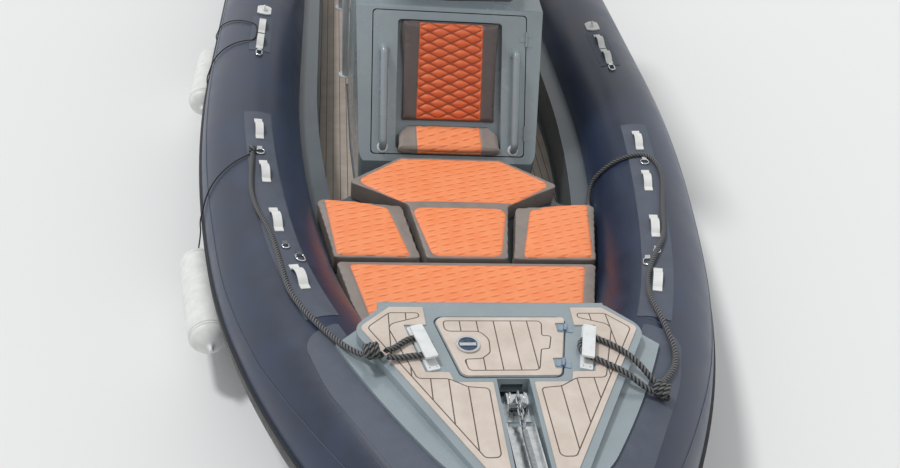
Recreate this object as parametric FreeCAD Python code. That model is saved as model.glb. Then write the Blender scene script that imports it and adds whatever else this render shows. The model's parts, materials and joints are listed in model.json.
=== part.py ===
import FreeCAD, Part
import math
import os

# Rigid inflatable boat afloat. Millimetres, +Z up, bow towards -Y, port towards +X.
# Z = 0 is the waterline, and X = 0 is the centreline.

Vec = FreeCAD.Vector

# Inflatable collar
tube_radius = 300.0
tube_half_spacing = 1240.0
tube_axis_height = 455.0
tube_aft_end = 3700.0
tube_bend_start = -100.0
cone_length = 520.0
cone_end_radius = 130.0
# Columns: plan heading after the bend and climb after the bend in degrees, plan radius
tube_bends = [
    (8.0, 0.0, 9200.0),
    (12.0, 3.0, 9200.0),
    (19.0, 7.5, 4600.0),
    (34.0, 5.5, 4600.0),
]
collar_crown_angle = -7.7       # patches and handles sit a little inboard of the crown
patch_thickness = 2.5
patch_half_angle = 15.0
rub_thickness = 16.0
rub_half_angle = 8.5
rub_centre_angle = 96.0

# Hull and inner moulding
hull_aft = 3750.0
hull_fore = -2720.0             # bulkhead below the bow deck's aft edge
hull_top = 110.0
floor_height = 180.0
coaming_height = tube_axis_height
side_deck_inset = 420.0         # tube axis to the inner face of the coaming
liner_inset = 190.0
liner_rise_y = -1500.0          # forward of this the liner's underside climbs with the forefoot
liner_fore_bottom = 275.0
bow_block_bottom = 600.0
aft_bulkhead_y = 3160.0
well_half = 430.0               # engine well in the aft deck
well_floor = 330.0
well_fore_y = 3330.0
lounge_plan = [(310.0, -1062.0), (640.0, -1392.0), (1000.0, -1600.0), (1000.0, -2700.0)]
seat_gap = 0.3                  # running gap between pieces that only rest on each other
teak_thickness = 6.0

# Bow deck, a plane that climbs forward
deck_datum_y = -2800.0
deck_datum_z = 950.0
deck_slope = 4.5
pad_depth = 90.0
flange_datum_y = -2980.0
flange_datum_z = 887.0
flange_slope = 6.3
flange_thickness = 20.0

# Anchor hatch in the bow deck
hatch_half_aft = 295.0
hatch_half_fore = 205.0
hatch_aft = -70.0
hatch_fore = -437.0
hatch_corner = 40.0
hatch_gap = 6.0
hatch_lid = 22.0
locker_depth = 300.0
hinge_pin_radius = 5.0

# Anchor chute
chute_half = 67.0
chute_aft = -446.0
chute_floor_aft = 905.0
chute_slope = 8.7
chute_tip_y = -4400.0

# Lounge cushions over the bow
lounge_top = 580.0
cushion_thickness = 120.0

# Console and its front door
console_front_y = -1038.0
console_knee_z = 487.0
console_rake = 37.6
console_wall = 35.0
console_half_aft = 600.0
console_half_mid = 585.0
console_half_fore = 552.0
console_top_z = 1245.0
console_aft_y = 380.0
door_half = 478.0
door_low = 48.0
door_high = 925.0
door_gap = 6.0
door_thickness = 30.0
niche_depth = 70.0
rail_radius = 20.0
rail_stand = 55.0
rail_place = 410.0

# Outboard engine
tilt_y = 3880.0
tilt_z = 405.0
steer_y = 4010.0
prop_axis_z = -640.0
prop_radius = 190.0
prop_y = 4420.0

# Fenders and ropes
fender_radius = 105.0
fender_length = 750.0
rope_radius = 11.0
rope_lift = 3.0                 # over the patches, so that the rope's curve stays clear of them


def box(x0, x1, y0, y1, z0, z1):
    return Part.makeBox(x1 - x0, y1 - y0, z1 - z0, Vec(x0, y0, z0))


def both_sides(shape):
    return [shape, shape.mirror(Vec(0, 0, 0), Vec(1, 0, 0))]


def fuse(shapes):
    shapes = list(shapes)
    if len(shapes) == 1:
        return shapes[0]
    return shapes[0].fuse(shapes[1:]).removeSplitter()


def polygon_wire(points, radii=0.0):
    """Closed polygon in the XY plane with rounded corners; radii is one value or one per point."""
    count = len(points)
    if not isinstance(radii, (list, tuple)):
        radii = [radii] * count
    points = [Vec(p[0], p[1], 0) for p in points]
    starts = []
    ends = []
    arcs = []
    for i in range(count):
        corner = points[i]
        before = (points[i - 1] - corner).normalize()
        after = (points[(i + 1) % count] - corner).normalize()
        if radii[i] <= 0:
            starts.append(corner)
            ends.append(corner)
            arcs.append(None)
            continue
        half = before.getAngle(after) / 2.0
        reach = radii[i] / math.tan(half)
        centre_dir = (before + after).normalize()
        middle = corner + centre_dir * (radii[i] / math.sin(half) - radii[i])
        starts.append(corner + before * reach)
        ends.append(corner + after * reach)
        arcs.append(middle)
    edges = []
    for i in range(count):
        if arcs[i] is not None:
            edges.append(Part.Arc(starts[i], arcs[i], ends[i]).toShape())
        nxt = (i + 1) % count
        if (starts[nxt] - ends[i]).Length > 1e-6:
            edges.append(Part.LineSegment(ends[i], starts[nxt]).toShape())
    return Part.Wire(edges)


def prism(points, low, high, radii=0.0):
    """Polygon in XY raised from z = low to z = high."""
    wire = polygon_wire(points, radii)
    wire.translate(Vec(0, 0, low))
    return Part.Face(wire).extrude(Vec(0, 0, high - low))


def profile_x(points, x0, x1, radii=0.0):
    """Polygon given as (y, z) pairs, extruded along X."""
    wire = polygon_wire(points, radii)
    face = Part.Face(wire)
    turn = FreeCAD.Rotation(Vec(0, 1, 0), Vec(0, 0, 1), Vec(1, 0, 0), "XYZ")
    face.Placement = FreeCAD.Placement(Vec(x0, 0, 0), turn)
    return face.extrude(Vec(x1 - x0, 0, 0))


def cylinder_between(a, b, radius):
    axis = b - a
    return Part.makeCylinder(radius, axis.Length, a, axis)


def mirrored(points):
    """Port half outline, aft to fore, completed with its starboard half."""
    return list(points) + [(-x, y) for x, y in reversed(points) if x > 0]


def tilted(origin, slope):
    """Placement whose local Y runs aft and down along a plane that climbs forward by slope degrees."""
    return FreeCAD.Placement(origin, FreeCAD.Rotation(Vec(1, 0, 0), -slope))


def placed(shape, placement):
    moved = shape.copy()
    moved.Placement = placement.multiply(moved.Placement)
    return moved


deck_frame = tilted(Vec(0, deck_datum_y, deck_datum_z), deck_slope)
flange_frame = tilted(Vec(0, flange_datum_y, flange_datum_z), flange_slope)
door_frame = FreeCAD.Placement(
    Vec(0, console_front_y, console_knee_z),
    FreeCAD.Rotation(Vec(1, 0, 0), 90.0 - console_rake),
)


def bent_wire(points, radii):
    """Open path of straight runs joined by tangent arcs; radii is one value or one per inner point."""
    points = [Vec(*p) for p in points]
    if not isinstance(radii, (list, tuple)):
        radii = [radii] * (len(points) - 2)
    edges = []
    last = points[0]
    for i in range(1, len(points) - 1):
        corner = points[i]
        before = (points[i - 1] - corner).normalize()
        after = (points[i + 1] - corner).normalize()
        half = before.getAngle(after) / 2.0
        reach = radii[i - 1] / math.tan(half)
        start = corner + before * reach
        end = corner + after * reach
        middle = corner + (before + after).normalize() * (radii[i - 1] / math.sin(half) - radii[i - 1])
        if (start - last).Length > 1e-6:
            edges.append(Part.LineSegment(last, start).toShape())
        edges.append(Part.Arc(start, middle, end).toShape())
        last = end
    edges.append(Part.LineSegment(last, points[-1]).toShape())
    return Part.Wire(edges)


def bent_tube(points, bend_radii, radius):
    """Round bar or tube along a bent path."""
    path = bent_wire(points, bend_radii)
    start = Vec(*points[0])
    heading = Vec(*points[1]) - start
    section = Part.Face(Part.Wire(Part.makeCircle(radius, start, heading)))
    return path.makePipe(section)


def cord_radii(points):
    """Each arc takes 0.45 of its shorter run."""
    points = [Vec(*p) for p in points]
    radii = []
    for i in range(1, len(points) - 1):
        before = points[i - 1] - points[i]
        after = points[i + 1] - points[i]
        half_turn = (math.pi - before.getAngle(after)) / 2.0
        radii.append(0.45 * min(before.Length, after.Length) / math.tan(half_turn))
    return radii


def cord_tube(points, radius):
    return bent_tube(points, cord_radii(points), radius)


def direction(turn, climb):
    turn = math.radians(turn)
    climb = math.radians(climb)
    return Vec(-math.sin(turn) * math.cos(climb), -math.cos(turn) * math.cos(climb), math.sin(climb))


def collar_segments():
    """Port collar's axis from its aft end to the stem: dictionaries of straight and bent runs."""
    point = Vec(tube_half_spacing, tube_aft_end, tube_axis_height)
    heading = Vec(0, -1, 0)
    up = Vec(0, 0, 1)
    length = tube_aft_end - tube_bend_start
    runs = [{"point": point, "heading": heading, "up": up, "length": length, "axis": None}]
    point = point + heading * length
    turned = 0.0
    nose = (90.0, 0.0, None)
    for turn, climb, plan_radius in tube_bends + [nose]:
        target = direction(turn, climb)
        angle = heading.getAngle(target)
        if plan_radius is None:
            reach = (heading + target) * math.tan(angle / 2.0)
            radius = -point.x / reach.x
        else:
            radius = plan_radius * math.radians(turn - turned) / angle
        axis = heading.cross(target).normalize()
        inward = axis.cross(heading)
        centre = point + inward * radius
        run = {"point": point, "heading": heading, "up": up, "length": radius * angle,
               "axis": axis, "centre": centre, "radius": radius}
        runs.append(run)
        rotation = FreeCAD.Rotation(axis, math.degrees(angle))
        point = centre + rotation.multVec(point - centre)
        heading = target
        up = rotation.multVec(up)
        turned = turn
    return runs


collar_runs = collar_segments()
collar_length = sum(run["length"] for run in collar_runs)


def collar_frame(distance):
    """Point, heading and up vector of the collar's axis at a distance from its aft end."""
    for run in collar_runs:
        if distance <= run["length"] or run is collar_runs[-1]:
            break
        distance -= run["length"]
    if run["axis"] is None:
        return run["point"] + run["heading"] * distance, run["heading"], run["up"]
    rotation = FreeCAD.Rotation(run["axis"], math.degrees(distance / run["radius"]))
    point = run["centre"] + rotation.multVec(run["point"] - run["centre"])
    return point, rotation.multVec(run["heading"]), rotation.multVec(run["up"])


def collar_distance(y):
    """Distance along the axis at which it passes the given y."""
    low = 0.0
    high = collar_length
    for _ in range(60):
        middle = (low + high) / 2.0
        if collar_frame(middle)[0].y > y:
            low = middle
        else:
            high = middle
    return low


def collar_direction(distance, angle):
    """Unit vector square to the axis; angle runs from straight up towards the outboard side."""
    point, heading, up = collar_frame(distance)
    outboard = up.cross(heading)
    return up * math.cos(math.radians(angle)) + outboard * math.sin(math.radians(angle))


def on_collar(y, angle, distance_out, side=1):
    """Point at a distance from the axis, beside the axis point at y."""
    at = collar_distance(y)
    point = collar_frame(at)[0] + collar_direction(at, angle) * distance_out
    return (side * point.x, point.y, point.z)


def collar_path(start, end):
    edges = []
    passed = 0.0
    for run in collar_runs:
        low = max(start, passed)
        high = min(end, passed + run["length"])
        if high - low > 0.01:
            a = collar_frame(low)[0]
            b = collar_frame(high)[0]
            if run["axis"] is None:
                edges.append(Part.LineSegment(a, b).toShape())
            else:
                middle = collar_frame((low + high) / 2.0)[0]
                edges.append(Part.Arc(a, middle, b).toShape())
        passed += run["length"]
    return Part.Wire(edges)


def collar_band(start, end, inner, outer, low_angle, high_angle):
    """Curved band on the collar between two distances and two angles."""
    centre = collar_frame(start)[0]
    middle_angle = (low_angle + high_angle) / 2.0

    def at(radius, angle):
        return centre + collar_direction(start, angle) * radius

    edges = [
        Part.Arc(at(inner, low_angle), at(inner, middle_angle), at(inner, high_angle)).toShape(),
        Part.LineSegment(at(inner, high_angle), at(outer, high_angle)).toShape(),
        Part.Arc(at(outer, high_angle), at(outer, middle_angle), at(outer, low_angle)).toShape(),
        Part.LineSegment(at(outer, low_angle), at(inner, low_angle)).toShape(),
    ]
    return collar_path(start, end).makePipe(Part.Face(Part.Wire(edges)))


def port_tube(grow):
    start, heading, up = collar_frame(0.0)
    radius = tube_radius + grow
    section = Part.Face(Part.Wire(Part.makeCircle(radius, start, heading)))
    body = collar_path(0.0, collar_length).makePipe(section)
    cone = Part.makeCone(radius, cone_end_radius + grow, cone_length, start, Vec(0, 1, 0))
    tip = start + Vec(0, cone_length, 0)
    cap = Part.makeCylinder(cone_end_radius + 12.0, 26.0, tip, Vec(0, 1, 0))
    cap = cap.makeFillet(10.0, [cap.Edges[0]])
    return fuse([body, cone, cap])


# Plan view of the collar's axis, used by everything that follows it from inside
plan_radius_mid = tube_bends[1][2]
plan_radius_bow = tube_bends[3][2]
turn_mid = tube_bends[1][0]
turn_bow = tube_bends[3][0]


def plan_point(turn, inset):
    """Point inset from the axis where its heading has turned by the given degrees."""
    def outward(angle):
        return Vec(math.cos(math.radians(angle)), -math.sin(math.radians(angle)), 0)
    centre = Vec(tube_half_spacing - plan_radius_mid, tube_bend_start, 0)
    if turn <= turn_mid:
        return centre + outward(turn) * (plan_radius_mid - inset)
    centre = centre + outward(turn_mid) * (plan_radius_mid - plan_radius_bow)
    if turn <= turn_bow:
        return centre + outward(turn) * (plan_radius_bow - inset)
    nose_radius = plan_radius_bow + centre.x / math.cos(math.radians(turn_bow))
    centre = centre + outward(turn_bow) * (plan_radius_bow - nose_radius)
    return centre + outward(turn) * (nose_radius - inset)


def plan_turn(y, inset):
    """Heading at which the inset line passes y."""
    low = 0.0
    high = 90.0
    for _ in range(60):
        middle = (low + high) / 2.0
        if plan_point(middle, inset).y > y:
            low = middle
        else:
            high = middle
    return low


def plan_x(y, inset):
    if y >= tube_bend_start:
        return tube_half_spacing - inset
    return plan_point(plan_turn(y, inset), inset).x


def plan_face(inset, y_aft, y_fore):
    """Horizontal face between the two collars; y_fore None follows the stem all the way round."""
    last_turn = 90.0 if y_fore is None else plan_turn(y_fore, inset)
    first_turn = 0.0 if y_aft > tube_bend_start else plan_turn(y_aft, inset)
    turns = [first_turn] + [t for t in (turn_mid, turn_bow) if first_turn < t < last_turn] + [last_turn]
    bend = plan_point(first_turn, inset)
    start = Vec(tube_half_spacing - inset, y_aft, 0) if first_turn == 0.0 else bend
    half = []
    if (bend - start).Length > 1e-6:
        half.append(Part.LineSegment(start, bend).toShape())
    for a, b in zip(turns[:-1], turns[1:]):
        middle = plan_point((a + b) / 2.0, inset)
        half.append(Part.Arc(plan_point(a, inset), middle, plan_point(b, inset)).toShape())
    end = plan_point(last_turn, inset)
    edges = []
    for edge in half:
        edges += both_sides(edge)
    if end.x > 1e-6:
        edges.append(Part.LineSegment(end, Vec(-end.x, end.y, 0)).toShape())
    edges.append(Part.LineSegment(start, Vec(-start.x, start.y, 0)).toShape())
    return Part.Face(Part.Wire(Part.__sortEdges__(edges)))


def plan_prism(inset, y_aft, y_fore, low, high):
    face = plan_face(inset, y_aft, y_fore)
    face.translate(Vec(0, 0, low))
    return face.extrude(Vec(0, 0, high - low))


# Hull form: straight run aft, then a forefoot that sweeps up to the stem
keel_depth = -480.0
forefoot_y = 200.0
stem_y = -3720.0
stem_height = 345.0
chine_inset = 155.0
chine_drop_aft = 172.0
chine_drop_stem = -30.0
spray_rail = 42.0
rail_places = [0.36, 0.68]
hull_crown = bow_block_bottom
transom_thickness = 60.0
hull_steps = 11


def hull_section(y):
    """Half outline from keel to centreline top as (x, z) pairs."""
    share = max(forefoot_y - y, 0.0) / (forefoot_y - stem_y)
    axis_x = plan_x(y, 0.0)
    axis_z = collar_frame(collar_distance(y))[0].z
    keel = keel_depth + (stem_height - keel_depth) * share ** 2.6
    drop = chine_drop_aft + (chine_drop_stem - chine_drop_aft) * share ** 1.6
    rail = spray_rail * (1.0 - 0.85 * share ** 2)
    chine_x = max(axis_x - chine_inset, 30.0)
    chine_z = axis_z - tube_radius - drop
    points = [(0.0, keel)]
    rise = (chine_z - keel) / chine_x
    for place in rail_places:
        x = place * chine_x
        points += [(x, keel + rise * x), (x + rail, keel + rise * x + 1.0),
                   (x + rail, keel + rise * (x + rail) + 2.0)]
    chine_edge = chine_x + rail * 1.3
    points += [(chine_x, chine_z), (chine_edge, chine_z - 6.0)]
    points += [(max(axis_x - 30.0, chine_edge + 8.0), axis_z - 190.0)]
    points += [(max(axis_x - 110.0, 40.0), hull_crown), (0.0, hull_crown)]
    return points


def liner_block(high):
    """Space of the inner moulding; its underside stays above the hull's bottom."""
    block = plan_prism(liner_inset, hull_aft - transom_thickness, hull_fore, hull_top, high)
    below = [(liner_rise_y, hull_top - 1.0), (hull_fore - 1.0, hull_top - 1.0),
             (hull_fore - 1.0, liner_fore_bottom)]
    return block.cut(profile_x(below, -2000.0, 2000.0))


def hull(tubes):
    bow_length = forefoot_y - stem_y
    steps = [hull_aft] + [forefoot_y - bow_length * k / hull_steps for k in range(hull_steps + 1)]
    wires = []
    for y in steps:
        half = hull_section(y)
        ring = half + [(-x, z) for x, z in reversed(half) if x > 0]
        points = [Vec(x, y, z) for x, z in ring]
        wires.append(Part.makePolygon(points + [points[0]]))
    body = Part.makeLoft(wires, True, True)
    body = body.cut(box(-2000, 2000, hull_fore, hull_aft + 100, coaming_height, hull_crown + 200))
    body = body.cut(liner_block(hull_crown + 200))
    body = body.cut(box(-well_half, well_half, well_fore_y, hull_aft + 10, well_floor,
                        coaming_height + 10))
    return body.cut(tubes)


eye_height = 60.0
eye_hole = 14.0
eye_outer = 30.0
eye_thickness = 14.0
eye_reach = 44.0                # stem's edge to the middle of the hole


def keel_y(height):
    """Where the stem's edge passes a height."""
    share = ((height - keel_depth) / (stem_height - keel_depth)) ** (1 / 2.6)
    return forefoot_y - share * (forefoot_y - stem_y)


def bow_eye(hull_form):
    """Towing eye through the stem."""
    y = keel_y(eye_height) - eye_reach
    half = eye_thickness / 2
    lug = cylinder_between(Vec(-half, y, eye_height), Vec(half, y, eye_height), eye_outer)
    root = box(-half, half, y, y + 2 * eye_reach, eye_height - eye_outer + 4.0,
               eye_height + eye_outer - 4.0)
    hole = cylinder_between(Vec(-half - 5.0, y, eye_height), Vec(half + 5.0, y, eye_height), eye_hole)
    return lug.fuse(root).cut(hole).cut(hull_form)


def cavity():
    """Space of the cockpit, from the bulkhead of the aft deck to the bow lounge."""
    space = plan_prism(side_deck_inset, aft_bulkhead_y, hull_fore + 100.0, floor_height,
                       coaming_height + 400.0)
    lounge = prism(mirrored(lounge_plan), floor_height - 1.0, coaming_height + 500.0)
    return space.cut(lounge)


def deck_liner(tubes):
    block = liner_block(coaming_height).cut(cavity())
    block = block.cut(box(-well_half, well_half, well_fore_y, hull_aft + 10, well_floor,
                          coaming_height + 10))
    return block.cut(tubes)


pad_outline = [(490.0, 25.0), (640.0, -140.0), (211.0, -908.0), (84.0, -1135.0)]
bow_core_inset = 90.0
bulkhead_wing_top = 670.0       # beside the deck the bulkhead stays below the collar's shoulder


def hatch_points(grow):
    """Port half of the hatch outline, grown by a margin."""
    return [(hatch_half_aft + grow, hatch_aft + grow), (hatch_half_fore + grow, hatch_fore - grow)]


def chute_space():
    """Recess for chain and anchor; its floor climbs forward faster than the deck."""
    aft_y = deck_datum_y + chute_aft
    tip_z = chute_floor_aft + (aft_y - chute_tip_y) * math.tan(math.radians(chute_slope))
    points = [(aft_y, chute_floor_aft), (chute_tip_y, tip_z), (chute_tip_y, 1300.0), (aft_y, 1300.0)]
    return profile_x(points, -chute_half, chute_half)


def deck_corners():
    """Tall prism that cuts the bow deck's aft corners off at a slant."""
    return prism(mirrored([(520.0, -2690.0), (520.0, -2790.0), (760.0, -3050.0), (760.0, -4300.0)]),
                 500.0, 1300.0)


def flange_cover():
    """Everything above and below the bow deck's flange."""
    return plan_prism(8.0, -2700.0, None, 500.0, 1300.0).common(deck_corners())


def bow_deck(tubes):
    core = plan_prism(bow_core_inset, hull_fore, None, bow_block_bottom, 1200.0)
    chamfer = deck_corners()
    bulkhead = box(-700.0, 700.0, hull_fore - 70.0, hull_fore, 500.0, bulkhead_wing_top)
    core = core.common(chamfer.fuse(bulkhead))
    below = placed(box(-2000, 2000, -2500, 2500, -2000, 0.0), flange_frame)
    core = core.common(below).cut(tubes)
    slab = placed(box(-2000, 2000, -2500, 2500, 0.0, flange_thickness), flange_frame)
    flange = flange_cover().common(slab).cut(tubes)
    pad = prism(mirrored(pad_outline), -pad_depth, -teak_thickness,
                [60.0, 90.0, 500.0, 20.0, 20.0, 500.0, 90.0, 60.0])
    pad = placed(pad, deck_frame).cut(tubes)
    deck = core.fuse([flange, pad])
    rebate = placed(prism(mirrored(hatch_points(hatch_gap)), -hatch_lid - seat_gap, 100.0, hatch_corner),
                    deck_frame)
    well = placed(prism(mirrored(hatch_points(-28.0)), -locker_depth, 0.0, hatch_corner), deck_frame)
    pipe = box(-45.0, 45.0, deck_datum_y + chute_aft - 30.0, deck_datum_y + hatch_fore + 60.0, 905.0,
               945.0)
    deck = deck.cut([rebate, well, chute_space(), pipe])
    return deck.removeSplitter()


def hatch_lid_shape():
    lid = prism(mirrored(hatch_points(0.0)), -hatch_lid, -teak_thickness, hatch_corner)
    return placed(lid, deck_frame)


latch_x = -161.0
latch_y = -254.0
latch_radius = 50.0
hatch_teak_margin = 4.0
caulk_gap = 6.0


def hatch_teak_shape():
    """Planks along the boat with a caulk line between neighbours, cleared round the latch."""
    outline = prism(mirrored(hatch_points(-hatch_teak_margin)), -teak_thickness, 0.0,
                    hatch_corner - hatch_teak_margin)
    clear = Part.makeCylinder(latch_radius + 8.0, 40.0, Vec(latch_x, latch_y, -20.0))
    pitch = 58.0
    grooves = [clear]
    for k in range(-4, 5):
        x = (k + 0.5) * pitch
        grooves.append(box(x - caulk_gap / 2, x + caulk_gap / 2, hatch_fore + 40.0, hatch_aft - 40.0,
                           -3.0, 20.0))
    for along in hinge_places:
        at = hinge_line(along)
        reach = hinge_leaf + 8.0
        half = hinge_half_length + 11.0
        grooves.append(box(at.x - reach, at.x + reach, at.y - half, at.y + half, -20.0, 20.0))
    return placed(outline.cut(grooves), deck_frame)


hinge_places = [0.2, 0.8]
hinge_rise = 2.5
hinge_leaf = 32.0               # pin to the edge of a leaf
hinge_half_length = 21.0
hinge_plate_start = 9.5         # past the other leaf's knuckles


def hinge_line(share):
    """Point of the hatch's port edge, aft to fore, at the pin's height in the deck frame."""
    aft = Vec(hatch_half_aft + hatch_gap / 2, hatch_aft, hinge_rise)
    fore = Vec(hatch_half_fore + hatch_gap / 2, hatch_fore, hinge_rise)
    return aft + (fore - aft) * share


def hatch_hinge(moving):
    """Flat leaves of the two hinges; the pin belongs to the deck's leaf."""
    along = (hinge_line(1.0) - hinge_line(0.0)).normalize()
    across = Vec(0, 0, 1).cross(along).normalize()
    shapes = []
    for share in hinge_places:
        at = hinge_line(share)
        outward = across if across.x > 0 else across * -1
        sign = -1.0 if moving else 1.0
        spans = [(-hinge_half_length, -8.0), (8.0, hinge_half_length)] if not moving else [(-7.5, 7.5)]
        parts = []
        for a, b in spans:
            knuckle = Part.makeCylinder(hinge_pin_radius + 2.5, b - a, at + along * a, along)
            if moving:
                knuckle = knuckle.cut(Part.makeCylinder(hinge_pin_radius + 0.05, b - a, at + along * a,
                                                        along))
            parts.append(knuckle)
        if not moving:
            parts.append(Part.makeCylinder(hinge_pin_radius, 2 * hinge_half_length,
                                           at - along * hinge_half_length, along))
        plates = [(a, b, hinge_pin_radius + 1.2, hinge_plate_start + 1.0) for a, b in spans]
        plates.append((-hinge_half_length, hinge_half_length, hinge_plate_start, hinge_leaf))
        for a, b, near, far in plates:
            leaf = Part.makeBox(b - a, far - near, 3.0)
            rotation = FreeCAD.Rotation(along, outward * sign, along.cross(outward * sign), "XYZ")
            start = at + along * a + outward * (sign * near)
            leaf.Placement = FreeCAD.Placement(start, rotation)
            low = min(v.Point.z for v in leaf.Vertexes)
            leaf.translate(Vec(0, 0, seat_gap - teak_thickness - low))
            parts.append(leaf)
        body = parts[0]
        for extra in parts[1:]:
            body = body.fuse(extra)
        shapes.append(placed(body.removeSplitter(), deck_frame))
    return Part.Compound(shapes)


def hatch_latch_shape():
    ring = Part.makeCylinder(latch_radius, 14.0, Vec(latch_x, latch_y, -teak_thickness))
    ring = ring.cut(Part.makeCylinder(latch_radius - 9.0, 20.0,
                                      Vec(latch_x, latch_y, -teak_thickness + 9.0)))
    bar_half = latch_radius - 15.0
    bar = box(latch_x - bar_half, latch_x + bar_half, latch_y - 9.0, latch_y + 9.0, 0.0, 7.0)
    return placed(ring.fuse(bar), deck_frame)


plank_pitch = 62.0
cleat_x = 349.0
cleat_mid_y = -269.0
cleat_turn = 15.0
cleat_half_width = 27.0
cleat_base_half = 136.0
cleat_bar_half = 100.0
cleat_base_top = 8.0
cleat_bar_low = 37.0
cleat_bar_top = 47.0
cleat_recess = (-412.0, -124.0)     # bare moulding from the hatch to the cleat's outer side


def bow_teak():
    """Side panels around the hatch and the cleats, with caulk lines parallel to the outer edges."""
    outer = [(606.0, -137.0), (171.0, -908.0), (150.0, -945.0)]
    fore, aft = cleat_recess
    inner = [(84.0, -945.0), (84.0, -470.0), (240.0, -470.0), (255.0, fore), (350.0, fore), (421.0, aft),
             (325.0, aft)]
    corners = [12, 30, 40, 200, 8, 8, 8, 8, 4, 4, 4, 4]
    panel = prism([(330.0, -6.0), (476.0, -6.0)] + outer + inner, -teak_thickness, 0.0, corners)
    edge = Vec(outer[1][0] - outer[0][0], outer[1][1] - outer[0][1], 0).normalize()
    inward = Vec(-abs(edge.y), abs(edge.x), 0)
    grooves = []
    for k in range(1, 7):
        start = Vec(outer[0][0], outer[0][1], -3.0) + inward * (plank_pitch * k) - edge * 300.0
        groove = Part.makeBox(1400.0, caulk_gap, 20.0)
        groove.Placement = FreeCAD.Placement(start, FreeCAD.Rotation(edge, inward, Vec(0, 0, 1), "XYZ"))
        grooves.append(groove)
    panel = placed(panel.cut(grooves), deck_frame)
    return Part.Compound(both_sides(panel))


def bow_cleats():
    """Flat bar on a web over a base plate, splayed with the hatch's sides."""
    def plate(half_width, half_length, low, high, corner):
        return prism(mirrored([(half_width, half_length), (half_width, -half_length)]), low, high, corner)

    base = plate(cleat_half_width, cleat_base_half, 0.0, cleat_base_top, 6.0)
    web = plate(7.0, 22.0, cleat_base_top - 1.0, cleat_bar_low + 1.0, 6.0)
    bar = plate(cleat_half_width, cleat_bar_half, cleat_bar_low, cleat_bar_top, 6.0)
    body = fuse([base, web, bar])
    local = FreeCAD.Placement(Vec(cleat_x, cleat_mid_y, -teak_thickness),
                              FreeCAD.Rotation(Vec(0, 0, 1), -cleat_turn))
    body = placed(placed(body, local), deck_frame)
    return Part.Compound(both_sides(body))


chute_frame = tilted(Vec(0, deck_datum_y + chute_aft, chute_floor_aft), chute_slope)


def windlass():
    """Chain stopper with a gypsy drum at the aft end of the chute."""
    base = box(-52.0, 52.0, -190.0, -12.0, 0.3, 6.3)
    cheek = profile_x([(-150.0, 6.0), (-60.0, 6.0), (-75.0, 62.0), (-135.0, 62.0)], 34.0, 42.0,
                      [0, 0, 18, 18])
    drum = cylinder_between(Vec(-34.0, -105.0, 42.0), Vec(34.0, -105.0, 42.0), 26.0)
    rims = both_sides(cylinder_between(Vec(26.0, -105.0, 42.0), Vec(32.0, -105.0, 42.0), 34.0))
    lever = box(-5.0, 5.0, -175.0, -140.0, 6.0, 46.0)
    body = fuse([base, drum, lever] + both_sides(cheek) + rims)
    return placed(body, chute_frame)


roller_local_y = -880.0


def bow_roller():
    """Stainless channel on the chute floor with cheeks and a pin at its outboard end."""
    plate = box(-58.0, 58.0, roller_local_y - 60.0, -215.0, 0.3, 5.3)
    wall = box(52.0, 58.0, roller_local_y - 60.0, -215.0, 0.3, 26.0)
    cheek = profile_x([(roller_local_y - 75.0, 0.3), (roller_local_y + 90.0, 0.3),
                       (roller_local_y + 60.0, 84.0),
                       (roller_local_y - 50.0, 84.0)], 52.0, 58.0, [20, 0, 25, 25])
    pin = cylinder_between(Vec(-58.0, roller_local_y, 30.0), Vec(58.0, roller_local_y, 30.0), 6.0)
    keeper = cylinder_between(Vec(-58.0, roller_local_y + 25.0, 73.5),
                              Vec(58.0, roller_local_y + 25.0, 73.5), 3.5)
    body = fuse([plate, pin, keeper] + both_sides(wall) + both_sides(cheek))
    return placed(body, chute_frame)


def roller_wheel():
    centre = Vec(-46.0, roller_local_y, 30.0)
    wheel = Part.makeCylinder(22.0, 92.0, centre, Vec(1, 0, 0))
    groove = Part.makeTorus(34.0, 17.0, Vec(0, roller_local_y, 30.0), Vec(1, 0, 0))
    wheel = wheel.cut(groove)
    wheel = wheel.cut(Part.makeCylinder(6.05, 92.0, centre, Vec(1, 0, 0)))
    return placed(wheel, chute_frame)


anchor_eye_y = -262.0
anchor_eye_z = 46.0


def anchor():
    """Plough anchor stowed with its shank in the chute."""
    shank = profile_x([(-285.0, 36.0), (-285.0, 56.0), (-760.0, 70.0), (-960.0, 68.0), (-1075.0, 20.0),
                       (-1060.0, -8.0),
                       (-950.0, 50.0), (-760.0, 50.0)], -9.0, 9.0)
    eye = cylinder_between(Vec(-4.5, anchor_eye_y, anchor_eye_z), Vec(4.5, anchor_eye_y, anchor_eye_z),
                           17.0)
    neck = box(-4.5, 4.5, -290.0, anchor_eye_y, anchor_eye_z - 8.0, anchor_eye_z + 8.0)
    hole = cylinder_between(Vec(-20.0, anchor_eye_y, anchor_eye_z), Vec(20.0, anchor_eye_y, anchor_eye_z),
                            8.0)
    blade_rows = [(-1010.0, -150.0, 8.0), (-1085.0, -40.0, 110.0), (-1075.0, 40.0, 130.0)]
    wires = []
    for y, z, half in blade_rows:
        drop = half * 0.45
        ring = [Vec(0, y, z), Vec(half, y + drop, z), Vec(half, y + drop + 8.0, z), Vec(0, y + 14.0, z),
                Vec(-half, y + drop + 8.0, z), Vec(-half, y + drop, z)]
        wires.append(Part.makePolygon(ring + [ring[0]]))
    blade = Part.makeLoft(wires, True, True)
    crown = box(-9.0, 9.0, -1100.0, -1040.0, -70.0, 24.0)
    body = shank.fuse([eye, neck, blade, crown]).cut(hole)
    return placed(body, chute_frame)


chain_wire = 4.0
chain_pitch = 25.7
chain_reach = 17.0              # link's middle to the wire's centre at its end
chain_half_width = 9.5
chain_climb = 13.3
chain_slack = 1.1               # the first link hangs on the aft side of the anchor's eye


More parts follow.
